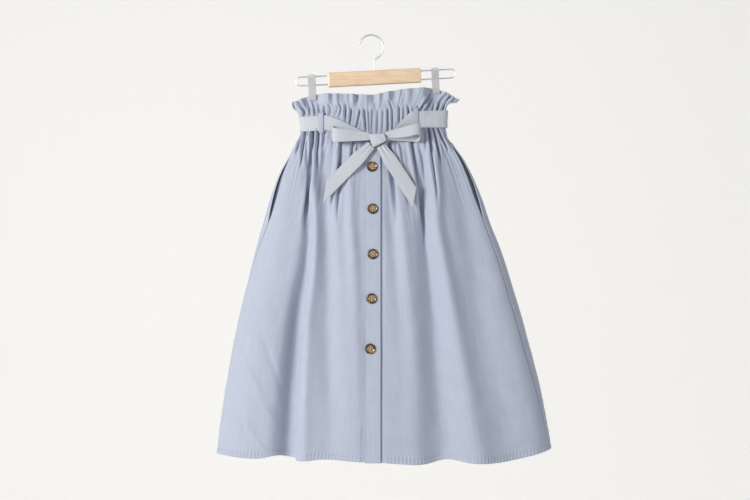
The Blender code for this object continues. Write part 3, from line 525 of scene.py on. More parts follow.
def gathers(panel, u, x, height):
    """Small gathers at uneven steps, and the frill's waves."""
    row = section_row(height)
    count = BACK_GATHERS if panel == "back" else FRONT_GATHERS
    seed = {"front_left": 1.3, "front_right": 4.1, "back": 2.2}[panel]
    free = 1 - clip_weight(x, row.closed)
    if panel != "back" and height < CASING_BOTTOM + 0.006:
        free = free * (1 - np.exp(-((x / PLACKET_FLAT) ** 4)))
    uneven = 1 + 0.45 * np.sin(TAU * count * u * 0.37 + seed)
    uneven = uneven + 0.35 * np.sin(TAU * count * u * 0.21 + 2 * seed)
    wander = 1.5 * np.sin(TAU * 4.3 * u + seed) * np.sin(math.pi * u)
    wander = wander + 0.9 * np.sin(TAU * 9.1 * u + 2 * seed)
    wave = np.cos(TAU * count * u + wander)
    crest = wave + 0.22 * np.cos(2 * (TAU * count * u + wander))
    if panel == "back":
        rate = TAU * BACK_RUFFLES
        large = row.ruffle * (np.cos(rate * u + wander) + 0.25 * np.cos(rate * 1.6 * u + seed))
    else:
        places, outs = np.array(FRILL_WAVES).T / 1000
        large = smooth_read(places, outs, x) * float(ease((height + 0.141) / 0.030))
    return (GATHER_SHARE * row.gather * crest * uneven + large) * free


@lru_cache(maxsize=None)
def creases_of(panel):
    """The panel's creases in metres: the named ones, and small ones scattered between them."""
    dice = np.random.default_rng({"front_left": 31, "front_right": 32, "back": 33}[panel])
    side = {"front_left": (-0.150, 0.0), "front_right": (0.0, 0.150), "back": (-0.150, 0.150)}[panel]
    made = []
    if panel != "back":
        for crease in FRONT_CREASES:
            points = tuple(in_metres(point) for point in crease.points)
            made.append(Crease(points, crease.depth / 1000, crease.width / 1000))
    count = BACK_CREASES if panel == "back" else FRONT_FILLERS // 2
    for index in range(count):
        x = side[0] + (side[1] - side[0]) * (index + dice.uniform(0.1, 0.9)) / count
        upper = dice.uniform(-0.142, -0.122)
        lean = dice.uniform(-0.12, 0.12)
        if index % 2:
            upper = dice.uniform(-0.186, -0.172)
            lean += 0.9 * x
            foot = upper - dice.uniform(0.030, 0.110)
        else:
            foot = upper - dice.uniform(0.018, 0.040)
        depth = dice.uniform(0.0020, 0.0048) if panel == "back" else dice.uniform(0.0010, 0.0022)
        width = dice.uniform(0.0015, 0.0026)
        made.append(Crease(((x, upper), (x + lean * (upper - foot), foot)), depth, width))
    return tuple(made)


def crease_dip(creases, x, z):
    """How far creases draw the cloth in along a row, with a soft swell on both sides of each."""
    total = np.zeros_like(x)
    for crease in creases:
        top = crease.points[0][1]
        foot = crease.points[-1][1]
        fading = max(CREASE_FADE, 0.30 * (top - foot))
        if z.min() > top + CREASE_FADE or z.max() < foot - fading:
            continue
        places, heights = np.array(crease.points[::-1]).T
        away = np.abs(x - np.interp(z, heights, places)) / crease.width
        taper = ease((top + CREASE_FADE - z) / (2 * CREASE_FADE)) * ease((z - foot + fading) / (2 * fading))
        shape = np.exp(-(away**1.4)) - CREASE_SHOULDER * np.exp(-(((away - 2.2) / 1.4) ** 2))
        total -= crease.depth * taper * shape
    return total


def folded_edge(x, height):
    """The step of the folded edge left of the front, over the valley that it hides in part."""
    place = float(smooth_read(RIDGE_HEIGHTS[::-1], RIDGE_PLACES[::-1], height))
    deep = RIDGE_DEPTH * float(ease((-0.33 - height) / 0.28))
    inside = np.maximum(place - x, 0.0)
    drop = 0.70 * ease(inside / RIDGE_STEP) + 0.30 * ease(inside / RIDGE_SLOPE)
    return -deep * drop * np.exp(-((inside / 0.030) ** 1.9)) + 0.12 * deep * bell(x - place - 0.0015, 0.0025)


def lingering(panel, u, height):
    """Some gathers run on down the skirt as long soft pleats."""
    count = BACK_GATHERS if panel == "back" else FRONT_GATHERS
    depth = CASING_BOTTOM - height
    if depth < 0:
        return np.zeros_like(u)
    total = np.zeros_like(u)
    dice = np.random.default_rng({"front_left": 11, "front_right": 12, "back": 13}[panel])
    for index in range(count):
        reach = dice.uniform(0.05, 0.20)
        strong = dice.uniform(0.3, 1.0)
        place = (index + dice.uniform(0.2, 0.8)) / count
        width = (0.20 + 0.25 * min(depth / 0.2, 1.0)) / count
        swell = math.sin(math.pi * min(depth / reach, 1.0)) ** 0.8 if depth < reach else 0.0
        total += LINGER_DEPTH * strong * swell * bell(u - place, width)
    return total


def cloth_row(panel, u, height):
    """One row of a panel at fine steps: its points and normals."""
    start, end = loop(height).spans[panel]
    x, y, nx, ny, turn = on_loop(height, start + u * (end - start))
    rise = height - HEM
    across = np.concatenate([[0], np.cumsum(np.hypot(np.diff(x), np.diff(y)))])
    to_edge = np.minimum(across, across[-1] - across)
    out = gathers(panel, u, x, height) + lingering(panel, u, height)
    out = out + crease_dip(creases_of(panel), x, raised(height, x, turn))
    # the line of stitches that parts the frill from the casing
    out = out - STITCH_DIP * float(bell(height - CASING_TOP, 0.0015))
    # hem: a turned band with a stitched line and small puckers
    band = float(ease(1 - (rise - HEM_BAND) / 0.012)) if rise > HEM_BAND else 1.0
    pucker = np.cos(TAU * across / PUCKER_PITCH + 1.2 * np.sin(across / 0.021))
    pucker = pucker * (1 + 0.5 * np.sin(across / 0.033))
    line = float(bell(rise - HEM_BAND, 0.0012))
    out = out + band * PUCKER_DEPTH * pucker - line * STITCH_DIP + EDGE_STEP * float(rise < HEM_BAND)
    # the frill's turned edge
    out = out - EDGE_STEP * float(bell(height - FRILL_TOP + 0.004, 0.0009))
    # soft unevenness of the hanging cloth, free of the waist
    hang = float(ease((CASING_BOTTOM - 0.03 - height) / 0.12))
    out = out + hang * SOFT_SWELL * ripple(x, np.full_like(x, height * 0.45), 21, 42.0)
    out = out + hang * FINE_SWELL * ripple(x, np.full_like(x, height * 0.6), 22, 150.0)
    if panel == "front_left":
        out = out + diagonal_creases(x, height) + folded_edge(x, height)
    # seams: the cloth turns in at the panel's sides
    if height < CASING_BOTTOM + 0.02:
        out = out - SEAM_DIP * bell(to_edge, 0.0014)
    if panel != "back" and height < CASING_BOTTOM:
        out = np.where(np.abs(x) < PLACKET_FLAT, np.minimum(out, PLACKET_SEAT), out)
    if panel == "front_right" and height < CASING_BOTTOM:
        out = out - PLACKET_GROOVE * bell(x - PLACKET_WIDTH / 2 - 0.0012, 0.0017)
    out = np.maximum(out, -np.maximum(np.abs(y) - LAYERS_APART, 0.0))
    x = x + out * nx
    y = y + out * ny
    points = np.stack([x + CENTRE_FRONT, y, raised(height, x, turn)], axis=1)
    return points, np.stack([nx, ny, 0 * nx], axis=1)


HangCrease = namedtuple("HangCrease", "x height lean length width out")
LEFT_CREASES = tuple(HangCrease(*row) for row in (
    (-0.232, -0.64, 0.55, 0.05, 0.005, 0.0022),
    (-0.205, -0.705, 0.62, 0.045, 0.0045, 0.0019),
    (-0.25, -0.73, 0.4, 0.04, 0.006, -0.0018),
    (-0.19, -0.62, 0.35, 0.06, 0.006, -0.0016),
    (-0.225, -0.76, 0.7, 0.03, 0.004, 0.0014),
))


def diagonal_creases(x, height):
    total = np.zeros_like(x)
    for crease in LEFT_CREASES:
        down = height - crease.height
        aside = x - crease.x + crease.lean * down
        total += crease.out * bell(aside, crease.width) * float(bell(down, crease.length))
    return total


def plain_front(x, height, out, side=-1):
    """Points off the loop at x on its front (side -1) or back (side 1), and the normals there."""
    ring = loop(height)
    facing = (ring.turn <= math.pi) if side < 0 else (ring.turn >= math.pi)
    order = 1 if side < 0 else -1
    along = np.interp(x, ring.x[facing][::order], ring.measure[facing][::order])
    px, py, nx, ny, _ = on_loop(height, along)
    px = px + out * nx
    py = py + out * ny
    return np.array([px + CENTRE_FRONT, py, height + ring.row.slope * px]), np.array([nx, ny, 0 * nx])


def smooth_front_y(x, height):
    row = section_row(height)
    centre = (row.left + row.right) / 2
    half = (row.right - row.left) / 2
    return -row.front * (1 - ((x - centre) / half) ** 2) ** (ROUNDNESS / 2)


# Making pieces
def mesh_of(shape, name):
    """Writes a worked shape to a new mesh and frees it."""
    mesh = bpy.data.meshes.new(name)
    shape.to_mesh(mesh)
    shape.free()
    return mesh


def finish_piece(name, mesh, look, nodes, smooth=True):
    piece = bpy.data.objects.new(name, mesh)
    bpy.context.scene.collection.objects.link(piece)
    mesh.materials.append(look)
    if smooth:
        mesh.shade_smooth()
    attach(piece, BODY)
    if nodes:
        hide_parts(*nodes)
    return piece


def grid_piece(name, columns, rows, surface, wall, look, nodes, slot):
    """A grid moved onto a surface, with its cut laid out in metres as its UV map, and given its thickness.

    surface(u, v) takes a whole row's steps of u and one v, and gives that row's points and outward normals.
    """
    shape = bmesh.new()
    shape.loops.layers.uv.new("cut")
    bmesh.ops.create_grid(shape, x_segments=columns, y_segments=rows, size=1.0, calc_uvs=True)
    mesh = mesh_of(shape, name)
    flat = np.empty(len(mesh.vertices) * 3)
    mesh.vertices.foreach_get("co", flat)
    flat = flat.reshape(-1, 3)
    column = np.rint((flat[:, 0] + 1) / 2 * columns).astype(int)
    row = np.rint((flat[:, 1] + 1) / 2 * rows).astype(int)
    steps = np.linspace(0, 1, columns + 1)
    places = np.empty((rows + 1, columns + 1, 3))
    outs = np.empty((rows + 1, columns + 1, 3))
    for index in range(rows + 1):
        places[index], outs[index] = surface(steps, index / rows)
    mesh.vertices.foreach_set("co", places[row, column].ravel())
    across = np.linalg.norm(np.diff(places, axis=1), axis=2)
    across = np.concatenate([np.zeros((rows + 1, 1)), np.cumsum(across, axis=1)], axis=1)
    across -= across[:, columns // 2 : columns // 2 + 1]
    down = np.linalg.norm(np.diff(places[:, columns // 2], axis=0), axis=1)
    down = np.concatenate([[0], np.cumsum(down)])
    ends = np.empty(len(mesh.loops), dtype=np.int64)
    mesh.loops.foreach_get("vertex_index", ends)
    cut = np.stack([across[row[ends], column[ends]], down[row[ends]]], axis=1)
    mesh.uv_layers["cut"].data.foreach_set("uv", cut.ravel())
    mesh.update()
    middle = mesh.polygons[(rows // 2) * columns + columns // 2]
    aim = outs[rows // 2, columns // 2]
    if Vector(aim).dot(middle.normal) < 0:
        mesh.flip_normals()
    piece = finish_piece(name, mesh, look, nodes)
    solid = piece.modifiers.new("cloth", "SOLIDIFY")
    solid.thickness = wall
    solid.offset = -1.0
    area = sum(face.area for face in mesh.polygons)
    return piece, float(across[:, -1].max() - across[:, 0].min()), float(down[-1]), area


def sheet_piece(name, steps, surface, wall, look, slot):
    """A sheet in its node's place. The widest row of its cut is worked out, but nothing uses it."""
    piece, width, length, area = grid_piece(f"{name}_cloth", *steps, surface, wall, look, (name,), slot)
    width = max(width, NARROWEST_CUT)


# Shader groups
def new_group(name, inputs, outputs):
    group = bpy.data.node_groups.new(name, "ShaderNodeTree")
    for label, kind, value in inputs:
        socket = group.interface.new_socket(label, in_out="INPUT", socket_type=kind)
        if value is not None:
            socket.default_value = value
    for label, kind in outputs:
        group.interface.new_socket(label, in_out="OUTPUT", socket_type=kind)
    return group, group.nodes.new("NodeGroupInput"), group.nodes.new("NodeGroupOutput")


def fill(made, values):
    """Sets a node's sockets by their names."""
    for name, value in values.items():
        made.inputs[name].default_value = value


def node(tree, kind, values=None, **settings):
    made = tree.nodes.new(kind)
    for name, value in settings.items():
        setattr(made, name, value)
    fill(made, values or {})
    return made


def noise_node(tree, values):
    return node(tree, "ShaderNodeTexNoise", values)


def range_node(tree, values):
    return node(tree, "ShaderNodeMapRange", values)


def ramp_node(tree, stops):
    ramp = node(tree, "ShaderNodeValToRGB")
    for element, (position, colour) in zip(ramp.color_ramp.elements, stops):
        element.position = position
        element.color = colour
    return ramp


def wire(tree, *links):
    for source, given, target, taken in links:
        tree.links.new(source.outputs[given], target.inputs[taken])


def math_node(tree, operation, first, second=None):
    made = node(tree, "ShaderNodeMath", operation=operation)
    for index, value in enumerate((first, second)):
        if value is None:
            continue
        if isinstance(value, (int, float)):
            made.inputs[index].default_value = value
        else:
            tree.links.new(value, made.inputs[index])
    return made.outputs[0]


def woven_group():
    """Plain weave in a cut's own metres: fine threads, slubs along both grains and a faint mottle."""
    group, given, out = new_group(
        "plain_weave",
        (
            ("Vector", "NodeSocketVector", None),
            ("Shade", "NodeSocketColor", (0.4, 0.45, 0.58, 1)),
            ("Pale", "NodeSocketColor", (0.5, 0.55, 0.66, 1)),
            ("Threads a metre", "NodeSocketFloat", 1400.0),
            ("Slub", "NodeSocketFloat", 0.5),
        ),
        (("Color", "NodeSocketColor"), ("Height", "NodeSocketFloat"), ("Roughness", "NodeSocketFloat")),
    )

    def times(first, second):
        return math_node(group, "MULTIPLY", first, second)

    def plus(first, second):
        return math_node(group, "ADD", first, second)

    parts = node(group, "ShaderNodeSeparateXYZ")
    wire(group, (given, "Vector", parts, 0))
    angle = times(given.outputs["Threads a metre"], math.pi)
    warp = math_node(group, "SINE", times(parts.outputs["X"], angle))
    weft = math_node(group, "SINE", times(parts.outputs["Y"], angle))
    crossing = times(warp, weft)
    slubs = []
    for stretch in ((330.0, 13.0, 1.0), (26.0, 540.0, 1.0)):
        placed = node(group, "ShaderNodeMapping", {"Scale": stretch})
        noise = noise_node(group, {"Scale": 1.0, "Detail": 3.0, "Roughness": 0.6})
        wire(group, (given, "Vector", placed, "Vector"), (placed, 0, noise, "Vector"))
        slubs.append(noise.outputs["Fac"])
    streaks = plus(times(slubs[0], 0.75), times(slubs[1], 0.25))
    mottle = noise_node(group, {"Scale": 34.0, "Detail": 4.0})
    wire(group, (given, "Vector", mottle, "Vector"))
    blended = plus(times(streaks, 0.75), times(mottle.outputs["Fac"], 0.25))
    spread = range_node(group, {"From Min": 0.32, "From Max": 0.68})
    group.links.new(blended, spread.inputs["Value"])
    strength = times(math_node(group, "SUBTRACT", spread.outputs[0], 0.5), given.outputs["Slub"])
    tone = plus(plus(strength, 0.5), times(crossing, 0.05))
    mix = node(group, "ShaderNodeMix", data_type="RGBA")
    group.links.new(tone, mix.inputs["Factor"])
    wire(group, (given, "Shade", mix, "A"), (given, "Pale", mix, "B"), (mix, "Result", out, "Color"))
    height = plus(times(crossing, 0.35), times(spread.outputs[0], 0.65))
    rough = plus(times(spread.outputs[0], 0.10), 0.78)
    group.links.new(height, out.inputs["Height"])
    group.links.new(rough, out.inputs["Roughness"])
    return group


def base_material(name):
    look = bpy.data.materials.new(name)
    look.use_nodes = True
    tree = look.node_tree
    return look, tree, tree.nodes["Principled BSDF"]


def cloth_material(name, group, shade, pale, slub, bump, sheen):
    look, tree, shader = base_material(name)
    cut = node(tree, "ShaderNodeUVMap", uv_map="cut")
    weave = node(tree, "ShaderNodeGroup", node_tree=group)
    fill(weave, {"Shade": shade, "Pale": pale, "Slub": slub})
    relief = node(tree, "ShaderNodeBump", {"Strength": bump, "Distance": THREAD_RELIEF})
    wire(
        tree, (cut, 0, weave, "Vector"), (weave, "Color", shader, "Base Color"),
        (weave, "Roughness", shader, "Roughness"), (weave, "Height", relief, "Height"),
        (relief, 0, shader, "Normal"),
    )
    fill(shader, {"Sheen Weight": sheen, "Sheen Roughness": 0.45, "Specular IOR Level": 0.25})
    return look


def tortoiseshell_material():
    look, tree, shader = base_material("tortoiseshell")
    place = node(tree, "ShaderNodeTexCoord")
    blots = noise_node(tree, {"Scale": 170.0, "Detail": 3.0, "Distortion": 1.2})
    shell = ramp_node(tree, ((0.52, SHELL_DARK_AND_HOLE_SHADE), (0.68, SHELL_AMBER)))
    turned = node(tree, "ShaderNodeUVMap", uv_map="turned")
    # the shell is paler tan towards the button's middle
    radius = node(tree, "ShaderNodeVectorMath", operation="LENGTH")
    paler_middle = range_node(tree, {"From Min": 0.70, "From Max": 0.40, "To Max": 0.85})
    mix = node(tree, "ShaderNodeMix", data_type="RGBA")
    mix.inputs["B"].default_value = SHELL_TAN
    # painted shade: the four holes are coloured the shell's dark, for the shade inside them
    quarter = node(tree, "ShaderNodeVectorMath", operation="ABSOLUTE")
    to_hole = node(tree, "ShaderNodeVectorMath", operation="DISTANCE")
    to_hole.inputs[1].default_value = (BUTTON_HOLE, BUTTON_HOLE, 0.0)
    hole = range_node(tree, {"From Min": 0.125, "From Max": 0.095})
    painted_hole_shade = node(tree, "ShaderNodeMix", data_type="RGBA")
    painted_hole_shade.inputs["B"].default_value = SHELL_DARK_AND_HOLE_SHADE
    wire(
        tree, (place, "Object", blots, "Vector"), (blots, "Fac", shell, "Fac"), (turned, 0, radius, 0),
        (radius, "Value", paler_middle, "Value"), (paler_middle, 0, mix, "Factor"), (shell, "Color", mix, "A"),
        (turned, 0, quarter, 0), (quarter, 0, to_hole, 0), (to_hole, "Value", hole, "Value"),
        (hole, 0, painted_hole_shade, "Factor"), (mix, "Result", painted_hole_shade, "A"),
        (painted_hole_shade, "Result", shader, "Base Color"),
    )
    fill(shader, {"Roughness": 0.22, "Coat Weight": 0.3})
    return look


def maple_material():
    look, tree, shader = base_material("maple")
    place = node(tree, "ShaderNodeTexCoord")
    along = node(tree, "ShaderNodeMapping", {"Scale": (9.0, 60.0, 110.0)})
    grain = noise_node(tree, {"Scale": 3.0, "Detail": 5.0, "Distortion": 0.6})
    ramp = ramp_node(tree, ((0.34, MAPLE_DARK), (0.58, MAPLE_PALE)))
    relief = node(tree, "ShaderNodeBump", {"Strength": 0.15, "Distance": GRAIN_RELIEF})
    wire(
        tree, (place, "Object", along, "Vector"), (along, 0, grain, "Vector"),
        (grain, "Fac", ramp, "Fac"), (ramp, "Color", shader, "Base Color"),
        (grain, "Fac", relief, "Height"), (relief, 0, shader, "Normal"),
    )
    fill(shader, {"Roughness": 0.42, "Coat Weight": 0.2})
    return look


def steel_material():
    look, tree, shader = base_material("plated_steel")
    place = node(tree, "ShaderNodeTexCoord")
    haze = noise_node(tree, {"Scale": 300.0, "Detail": 3.0})
    spread = range_node(tree, {"To Min": 0.40, "To Max": 0.56})
    wire(
        tree, (place, "Object", haze, "Vector"), (haze, "Fac", spread, "Value"),
        (spread, 0, shader, "Roughness"),
    )
    fill(shader, {"Base Color": STEEL_GREY, "Metallic": 1.0})
    return look


def plain_material(name, colour, roughness):
    look, _, shader = base_material(name)
    fill(shader, {"Base Color": colour, "Roughness": roughness})
    return look


def backdrop_material():
    """A matt white studio wall with a light of its own, so that it stays pale behind the skirt."""
    look, _, shader = base_material("backdrop_wall")
    fill(shader, {"Base Color": WALL_WHITE, "Roughness": 0.9, "Specular IOR Level": 0.1})
    fill(shader, {"Emission Color": WALL_GLOW, "Emission Strength": 1.0})
    return look


# The skirt's pieces
def fine_heights():
    heights = [FINE_HEIGHTS[0][0]]
    for start, end, rows in FINE_HEIGHTS:
        heights += [start + (end - start) * step / rows for step in range(1, rows + 1)]
    return heights


def make_panels(look):
    heights = fine_heights()
    for panel in ("front_left", "front_right", "back"):
        steps = (BACK_COLUMNS if panel == "back" else FRONT_COLUMNS, len(heights) - 1)

        def surface(u, v, panel=panel):
            return cloth_row(panel, u, heights[round(v * (len(heights) - 1))])

        sheet_piece(panel, steps, surface, CLOTH, look, "cotton")


def make_placket(look):
    def surface(u, v):
        height = CASING_BOTTOM + (PLACKET_FOOT - CASING_BOTTOM) * v
        x = (u - 0.5) * PLACKET_WIDTH
        left = u * PLACKET_WIDTH
        right = (1 - u) * PLACKET_WIDTH
        out = PLACKET_LEFT_RISE + (PLACKET_RIGHT_RISE - PLACKET_LEFT_RISE) * ease(u)
        out = out - 0.0005 * bell(left - 0.0024, 0.0007) - 0.0002 * bell(left, 0.0006)
        out = out - 0.0003 * bell(right - 0.0030, 0.0006) - 0.0007 * bell(right, 0.0006)
        out = out + 0.0003 * np.sin(height * 260 + 2 * u) * bell(left - 0.0024, 0.004)
        rise = height - HEM
        out = out - 0.0006 * float(bell(rise - HEM_BAND, 0.0010))
        points, normals = plain_front(x, height, out)
        low = float(ease(1 - rise / HEM_LIFT_RISE))
        points[2] += edge_lift(FRONT_HEM, 0.0) * low
        return points.T, normals.T

    sheet_piece("placket", (44, 240), surface, CLOTH, look, "cotton")


def make_pockets(look):
    for pocket in POCKETS:
        top = pocket.top - BAG_TOP_INSET
        bottom = pocket.bottom - BAG_DROP
        seam = 0 if pocket.side < 0 else 1

        def surface(u, v, pocket=pocket, top=top, bottom=bottom, seam=seam):
            height = top + v * (bottom - top)
            ring = loop(height)
            x, y, nx, ny, _ = on_loop(height, ring.spans["seams"][seam])
            open_slit = slit_gap(pocket, height)
            depth = BAG_TOP_DEPTH + (BAG_DEPTH - BAG_TOP_DEPTH) * float(ease(v / BAG_DEEPENS))
            depth *= math.sqrt(max(1 - max((v - BAG_ROUNDS[0]) / BAG_ROUNDS[1], 0.0) ** 2, 0.02))
            swell = math.sin(math.pi * v) ** 0.6 if 0 < v < 1 else 0.0
            across = 2 * u - 1
            deep = depth * (1 - np.abs(across) ** 1.6)
            settle = 1 - np.exp(-deep / BAG_SETTLE)
            inset = WALL + BAG_MOUTH_INSET + 0.5 * open_slit
            middle_x = x - nx * inset - pocket.side * deep
            middle_y = (y - ny * inset) * (1 - settle) + BAG_MIDDLE * settle
            forward_x = ny * pocket.side * (1 - settle)
            forward_y = -nx * pocket.side * (1 - settle) - settle
            size = np.hypot(forward_x, forward_y)
            half_gap = BAG_WALL + SEAM_GAP / 2 + open_slit * (1 - settle)
            half_gap = half_gap + (BAG_CLEARANCE / 2) * swell * settle
            bend = np.minimum(np.abs(across) / BAG_FOLD, 1.0)
            layer = np.sqrt(1 - (1 - bend) ** 2) * np.where(across < 0, 1, -1)
            fx = forward_x / size * layer
            fy = forward_y / size * layer
            z = np.full_like(u, height + ring.row.slope * float(x))
            x, y = middle_x + fx * half_gap + CENTRE_FRONT, middle_y + fy * half_gap
            points = np.stack([x, y, z], axis=1)
            normals = np.stack([fx - pocket.side * (1 - bend), fy, 0 * fx], axis=1)
            return points, normals

        sheet_piece(pocket.name, (60, 40), surface, BAG_WALL, look, "pocket_cotton")


def ribbon_edge(v, width):
    """How a sewn ribbon's outer face dips at its edges and at the stitched line just inside them."""
    edge = min(v, 1 - v) * width
    return -0.0006 * float(bell(edge, 0.0008)) - 0.00045 * float(bell(edge - 0.0028, 0.0007))


def drawn(t):
    """The belt's way to its full width: nearly straight, and eased at both ends."""
    return (3 * np.clip(t, 0.0, 1.0) + ease(t)) / 4


def make_belt(look):
    half = (SECTIONS[5].right - SECTIONS[5].left) / 2
    first = math.pi / 2 + math.asin(BELT_END_X[0] / half)
    last = math.pi / 2 + math.asin(BELT_END_X[1] / half) - TAU

    def surface(u, v):
        points = np.empty((len(u), 3))
        normals = np.empty((len(u), 3))
        for index, step in enumerate(u):
            turn = first + (last - first) * step
            to_left = drawn((first - turn) * half / BELT_BUNCH[0])
            full = float(min(to_left, drawn((turn - last) * half / BELT_BUNCH[1])))
            middle = BELT_KNOT_MIDDLE + (BELT_MIDDLE - BELT_KNOT_MIDDLE) * full
            half_width = BELT_KNOT_HALF_WIDTH + (BELT_HALF_WIDTH - BELT_KNOT_HALF_WIDTH) * full
            height = round(middle + (1 - 2 * v) * half_width, 4)
            ring = loop(height)
            at = float(np.interp(turn % TAU, ring.turn, ring.measure))
            x, y, nx, ny, _ = on_loop(height, at)
            out = BELT_CLEAR + BELT_WALL + BELT_KNOT_STAND * (1 - full)
            out += ribbon_edge(v, 2 * half_width) - 0.0012 * (1 - full) * math.sin(v * 9.0) ** 2
            z = middle + (1 - 2 * v) * half_width + ring.row.slope * x
            points[index] = (x + out * nx + CENTRE_FRONT, y + out * ny, z)
            normals[index] = (nx, ny, 0)
        return points, normals

    sheet_piece("belt", (420, 24), surface, BELT_CLOTH, look, "belt_cotton")


def make_carriers(look):
    for carrier in CARRIERS:

        def surface(u, v, carrier=carrier):
            height = BELT_MIDDLE + 0.001 + (1 - 2 * v) * CARRIER_HALF_HEIGHT
            over = float(ease((1 - abs(2 * v - 1)) / CARRIER_FOOT))
            edge = np.minimum(u, 1 - u) * CARRIER_WIDTH
            out = CARRIER_LOW + (CARRIER_HIGH - CARRIER_LOW) * over + WALL
            out = out - 0.0005 * bell(edge, 0.0006) - 0.0003 * bell(edge - 0.002, 0.0005)
            points, normals = plain_front(carrier.x + (u - 0.5) * CARRIER_WIDTH, height, out, carrier.side)
            return points.T, normals.T

        sheet_piece(carrier.name, (24, 40), surface, CARRIER_CLOTH, look, "cotton")


def make_bow(look):
    for part in BOW_LOOPS:

        def spot(u, v, part=part):
            across = 2 * u - 1
            reach = np.clip(np.cos(across * math.pi / 2), 0, 1) ** 0.8
            x = part.start_x + (part.end_x - part.start_x) * reach
            full = BOW_BULGE_AT_KNOT + (1 - BOW_BULGE_AT_KNOT) * reach
            pleat = 0.0010 * (1 - reach) ** 2 * math.cos(4 * math.pi * v) * np.sign(across)
            y = BOW_Y + part.bulge * np.sin(math.pi * across) * full + BOW_LAYER_GAP * across + pleat
            behind = ease((across + BOW_TURN) / (2 * BOW_TURN))
            start = [a + (b - a) * behind for a, b in zip(part.start_front, part.start_back)]
            end = [a + (b - a) * behind for a, b in zip(part.end_front, part.end_back)]
            low, high = (a + (b - a) * reach for a, b in zip(start, end))
            low = low - part.sag * np.sin(math.pi * reach) * (1 - behind)
            return np.stack([x + CENTRE_FRONT, y, high + (low - high) * v], axis=1)

        def surface(u, v, part=part, spot=spot):
            ahead = spot(np.minimum(u + 0.005, 1.0), v) - spot(np.maximum(u - 0.005, 0.0), v)
            normals = np.stack([ahead[:, 1], -ahead[:, 0], 0 * ahead[:, 0]], axis=1)
            normals /= np.linalg.norm(normals, axis=1)[:, None]
            normals *= 1.0 if part.end_x > part.start_x else -1.0
            return spot(u, v) + normals * ribbon_edge(v, 0.030), normals

        sheet_piece(part.name, (120, 26), surface, BOW_CLOTH, look, "belt_cotton")
    for part in BOW_TAILS:
        start = np.array((part.start[0], part.start[1]))
        end = np.array((part.end[0], part.end[1]))
        run = end - start
        length = float(np.hypot(*run))
        aside = np.array((run[1], -run[0])) / length

        def surface(u, v, part=part, start=start, run=run, length=length, aside=aside):
            side = 2 * u - 1
            t = v + part.slant / length * side * v * 3
            width = part.half_width * (0.68 + 0.32 * ease(t / 0.30))
            x = start[0] + run[0] * t + aside[0] * side * width
            z = start[1] + run[1] * t + aside[1] * side * width
            y = np.array([float(smooth_front_y(a, min(b, -0.2100))) for a, b in zip(x, z)])
            edge = np.minimum(u, 1 - u) * 2 * part.half_width
            y = y - TAIL_CLEAR - 0.0012 * np.sin(5.0 * t + 1.0)
            y = y + 0.0005 * bell(edge - 0.0028, 0.0007) + 0.0006 * bell(edge, 0.0008)
            y = y + 0.0009 * (1 - ease(t / 0.30)) * np.cos(2.5 * math.pi * side)
            points = np.stack([x + CENTRE_FRONT, y, z], axis=1)
            return points, np.tile((0.0, -1.0, 0.0), (len(u), 1))

        sheet_piece(part.name, (30, 90), surface, BOW_CLOTH, look, "belt_cotton")


def make_knot(look):
    """The knot: a flat turn of the belt, wrapped aslant, tall at its left and low at its right."""
    shape = bmesh.new()
    shape.loops.layers.uv.new("cut")
    bmesh.ops.create_uvsphere(shape, u_segments=72, v_segments=48, radius=0.5, calc_uvs=True)
    turn = Matrix.Rotation(KNOT_TURN, 4, "Y")
    centre = Vector(KNOT_CENTRE) + Vector((CENTRE_FRONT, 0, 0))
    for vert in shape.verts:
        square = max(abs(part) for part in vert.co) / vert.co.length
        co = vert.co * square**-KNOT_SQUARENESS
        tall = 0.76 - 0.52 * co.x
        stitched = 0.05 * (bell(co.x - 0.33, 0.045) + bell(co.x + 0.36, 0.045))
        folded = 0.05 * math.cos(9.0 * co.x + 5.0 * co.z) * max(0.0, 1 - 2.2 * abs(co.x))
        z = co.z * KNOT_SIZE[2] * tall - KNOT_SKEW * co.x
        co = Vector((co.x * KNOT_SIZE[0], co.y * KNOT_SIZE[1] * (1 - stitched + folded), z))
        vert.co = turn @ co + centre
    bmesh.ops.recalc_face_normals(shape, faces=shape.faces[:])
    layer = shape.loops.layers.uv["cut"]
    for face in shape.faces:
        for corner in face.loops:
            corner[layer].uv = (corner.vert.co.x, corner.vert.co.z)
    mesh = mesh_of(shape, "bow_knot_cloth")
    knot = finish_piece("bow_knot_cloth", mesh, look, ("bow_knot",))


